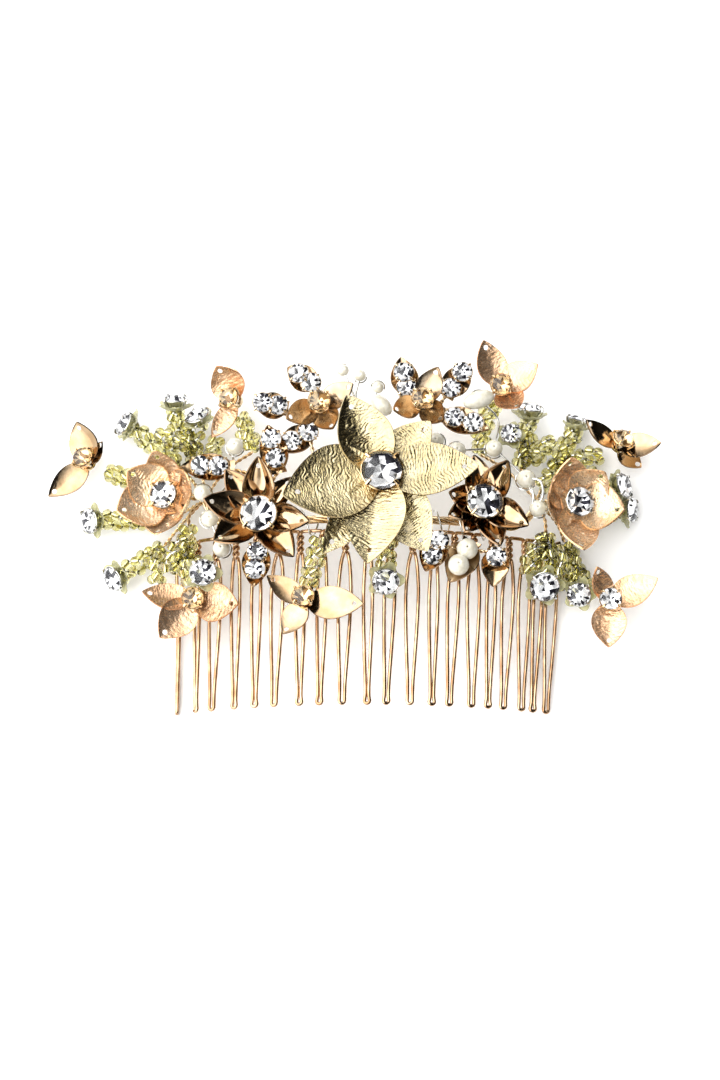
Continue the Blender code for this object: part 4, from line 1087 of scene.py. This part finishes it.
SPRIGS = (
    # node, (route, and maybe axis and radius of a crystal) of each bundle of strands
    ("bead_sprig_far_left", (
        (((-37.4, 13.6, 3.2), (-44, 14.6, 2.6), (-51.8, 16.6, 2.6)),),)),
    ("bead_sprig_outer_left", (
        (((-37.4, 7.6, 3.2), (-45, 6.6, 2.6), (-53.6, 6.3, 3.6)), (-0.75, -0.25, 0.6), 2.5),)),
    ("bead_sprig_upper_left", (
        (((-37.6, 18, 4), (-41.6, 21.4, 3.4), (-47, 26, 3.8)), (-0.8, 0.3, 0.5), 2.5),)),
    ("bead_sprigs_top_left", (
        (((-32, 15.4, 6.2), (-34.2, 20.6, 5.8), (-37.6, 26.6, 5), (-38, 29.7, 5.2)),
         (0, 0.85, 0.5), 2.5),
        (((-34.2, 20.6, 5.8), (-32.8, 26.4, 6.2)), (-0.3, 0.6, 0.7), 2.3),
        (((-34.2, 20.6, 6.4), (-37.6, 21.6, 8.2), (-41.4, 22.6, 8.8)),),
        (((-32.6, 16.6, 6), (-30.8, 20, 4.6), (-29.2, 23.2, 4)),))),
    ("bead_sprig_top_left_flower", (
        (((-21.8, 20.1, 9), (-23.2, 23.6, 7.4), (-24.2, 27.4, 6)),),)),
    ("bead_sprig_low_left", (
        (((-41.4, -0.4, 3.4), (-40.6, -3.4, 5.4), (-41, -7, 6)),),
        (((-40.2, 0.6, 3.2), (-43.6, -1.8, 2.6), (-48.6, -5.2, 3.4)), (-0.7, -0.5, 0.5), 2.5),)),
    ("bead_sprig_lower_left", (
        (((-34.6, 3.4, 8.6), (-34.8, -3, 8.6), (-34, -7.8, 7.9)),),
        (((-34.8, -3, 8.6), (-32.4, -5.4, 10.8), (-31, -7.2, 13)), (0, -0.07, 1), 2.5),
        (((-34.9, 0.6, 8.7), (-37.2, -2.2, 9), (-37.8, -5.6, 9)),))),
    ("bead_sprig_low_right", (
        (((36.6, 1, 8.6), (34.2, -2.4, 9), (33.2, -6, 8.8)),),
        (((37, 0, 8.4), (39.2, -2.8, 9), (40, -6, 8.8)),),
        (((37, 2, 8.2), (37, -3, 7.8), (36.4, -8, 7.6)), (0, -0.5, 0.9), 2.8),)),
    ("bead_sprig_bottom_right", (
        (((41.6, 0.2, 4.3), (41.2, -3.6, 4.3), (41.2, -8, 4.3)),),
        (((41.2, 1, 4.4), (43.2, -4, 3.5), (46.7, -9.1, 3.2)),),
        (((43.3, -4.2, 3.7), (43.8, -9.6, 6.2)), (-0.3, -0.4, 1), 2.3))),
    ("bead_sprigs_upper_right", (
        (((32.4, 16.8, 7.4), (33.4, 21.4, 6.8), (34.2, 27.4, 6.4)), (0.1, 0.85, 0.5), 2.5),
        (((33.4, 21.4, 6.8), (30.2, 22.4, 9.2)), (0, 0.1, 1), 2),
        (((32.8, 18, 7.2), (36, 19.4, 6.6), (38.6, 22.6, 6)),))),
    ("bead_sprig_top_right_flower", (
        (((24.2, 19.2, 8.4), (24.6, 24, 8.2), (27, 29.6, 8.2)),),)),
    ("bead_sprigs_far_right", (
        (((36.8, 12.6, 5.6), (40.4, 18.6, 3.4), (44, 26.2, 3)), (0.25, 0.9, 0.3), 2.2),
        (((39.9, 17.7, 3.8), (44.6, 19.4, 3), (49, 20.4, 3)),))),
    ("bead_sprigs_outer_right", (
        (((42.6, 9.6, 3.8), (45.4, 13.6, 3), (48.4, 16.4, 3)),),
        (((41.8, 9, 4), (46.4, 11.6, 3), (51.8, 13, 4.4)), (0.8, 0.1, 0.6), 2.5),
        (((43.9, 10, 3.3), (48, 8.2, 2.6), (53.2, 8.6, 3.4)), (0.85, -0.1, 0.4), 2.5))),
    ("bead_sprig_bottom", (
        (((5.2, -1.4, 16.8), (5, -4.4, 16.5), (4.8, -9.2, 16.4)), (0, -0.5, 0.9), 2.5),)),
    ("bead_sprig_bottom_gold_flower", (
        (((-8.4, -1, 16.35), (-9, -5, 15.75), (-10.4, -10, 14.9)),),)),
)


def make_sprigs():
    for node, bundles in SPRIGS:
        piece = Piece("bead", "lining", "silver_wire", "crystal", "foil", "sequin")
        for number, (route, *crystal) in enumerate(bundles):
            bead_strands(piece, route, 0.9 * number)
            if crystal:
                crystal_end(piece, route[-1], *crystal)
        piece.build(node + "_strands", "bead", node)


# Studio

def make_floor():
    mesh = bpy.data.meshes.new("floor")
    reach = 8.0
    mesh.from_pydata([(-reach, -reach, 0), (reach, -reach, 0), (reach, reach, 0), (-reach, reach, 0)], [],
                     [(0, 1, 2, 3)])
    material, tree, shader = new_material("paper")
    feed(tree, shader, {
        "Base Color": (0.93, 0.93, 0.925, 1), "Roughness": 0.9, "Specular IOR Level": 0.1,
        "Emission Color": (1.0, 0.99, 0.97, 1), "Emission Strength": 0.15})
    mesh.materials.append(material)
    floor = new_object("floor", mesh)


def grey(level):
    return (level, level, level)


def make_studio():
    """A white tent with shaded foot, one dark opening low on the right and a bright panel high on the left.

    Seen directly, it is plain white paper.
    """
    world = bpy.data.worlds.new("studio")
    world.use_nodes = True
    tree = world.node_tree
    place = tree.nodes.new("ShaderNodeTexCoord").outputs["Generated"]
    fold = new_node(tree, "TexNoise", "Fac", {"Vector": place, "Scale": 2.6, "Detail": 2.0})
    dark = facing_node(tree, place, (0.85, -0.30, 0.43), fold, 0.9)
    north = facing_node(tree, place, (0.20, 0.90, 0.39), fold, 0.5)
    panel = facing_node(tree, place, (-0.75, 0.05, 0.66), fold, 0.4)
    height = facing_node(tree, place, (0.0, 0.0, 1.0), fold, 0.25)
    walls = ramp_node(tree, dark, [(0.38, grey(1.0)), (0.54, grey(0.55)), (0.65, grey(0.33)),
                                   (0.75, grey(0.02))])
    shade = ramp_node(tree, north, [(0.60, grey(1.0)), (0.78, grey(0.5))])
    glow = ramp_node(tree, panel, [(0.43, grey(0.0)), (0.62, grey(2.4))])
    low = ramp_node(tree, height, [(0.20, (0.20, 0.19, 0.18)), (0.36, (0.50, 0.49, 0.48)),
                                   (0.50, grey(1))])
    walls = blend_node(tree, "MULTIPLY", 1.0, walls, shade)
    walls = blend_node(tree, "MULTIPLY", 1.0, walls, low)
    total = blend_node(tree, "ADD", 1.0, walls, glow)
    seen = tree.nodes.new("ShaderNodeLightPath").outputs["Is Camera Ray"]
    total = mix_node(tree, seen, total, (0.85, 0.85, 0.84))
    feed(tree, tree.nodes["Background"], {"Color": total, "Strength": 1.22})
    bpy.context.scene.world = world
    bpy.context.scene.view_settings.view_transform = "Standard"


def math_node(tree, operation, *values):
    """A sum on the given values; each is a number or another node's output."""
    node = tree.nodes.new("ShaderNodeMath")
    node.operation = operation
    feed(tree, node, dict(enumerate(values)))
    return node.outputs[0]


def facing_node(tree, place, heading, folds, sway):
    """How much a direction faces heading, from -1 to 1, unevened by the tent's folds."""
    turn = tree.nodes.new("ShaderNodeVectorMath")
    turn.operation = "DOT_PRODUCT"
    feed(tree, turn, {0: place, 1: unit(heading)})
    uneven = math_node(tree, "MULTIPLY_ADD", folds, sway, turn.outputs["Value"])
    return math_node(tree, "MULTIPLY", uneven, 0.7)


def make_camera():
    """Almost straight down on the comb, tilted by 15 degrees from its toothed side."""
    tilt = math.radians(15)
    distance = 450.0
    target = on_frame((-0.2, 1.0, 8.0))
    camera = new_object("camera", bpy.data.cameras.new("camera"))
    camera.location = target + distance * MM * np.array((0.0, -math.sin(tilt), math.cos(tilt)))
    camera.rotation_euler = (tilt, 0.0, 0.0)
    camera.data.lens = 75.0
    camera.data.clip_start = 0.01
    camera.data.clip_end = 20.0
    bpy.context.scene.camera = camera


def on_frame(points):
    """Spray coordinates in millimetres to the frame's metres: the comb's box sits on the CAD box."""
    low, high = np.array(cad_box[0]), np.array(cad_box[1])
    base = np.array((0.5 * (low[0] + high[0]), 0.5 * (low[1] + high[1]), low[2]))
    return (np.asarray(points, float) - ORIGIN) * MM + base


make_comb()
make_stem()
make_lashing()
make_big_flower()
make_gold_flowers()
make_tulips()
make_three_petal_flowers()
make_leaves()
make_pearls()
make_sprigs()
make_floor()
make_studio()
make_camera()
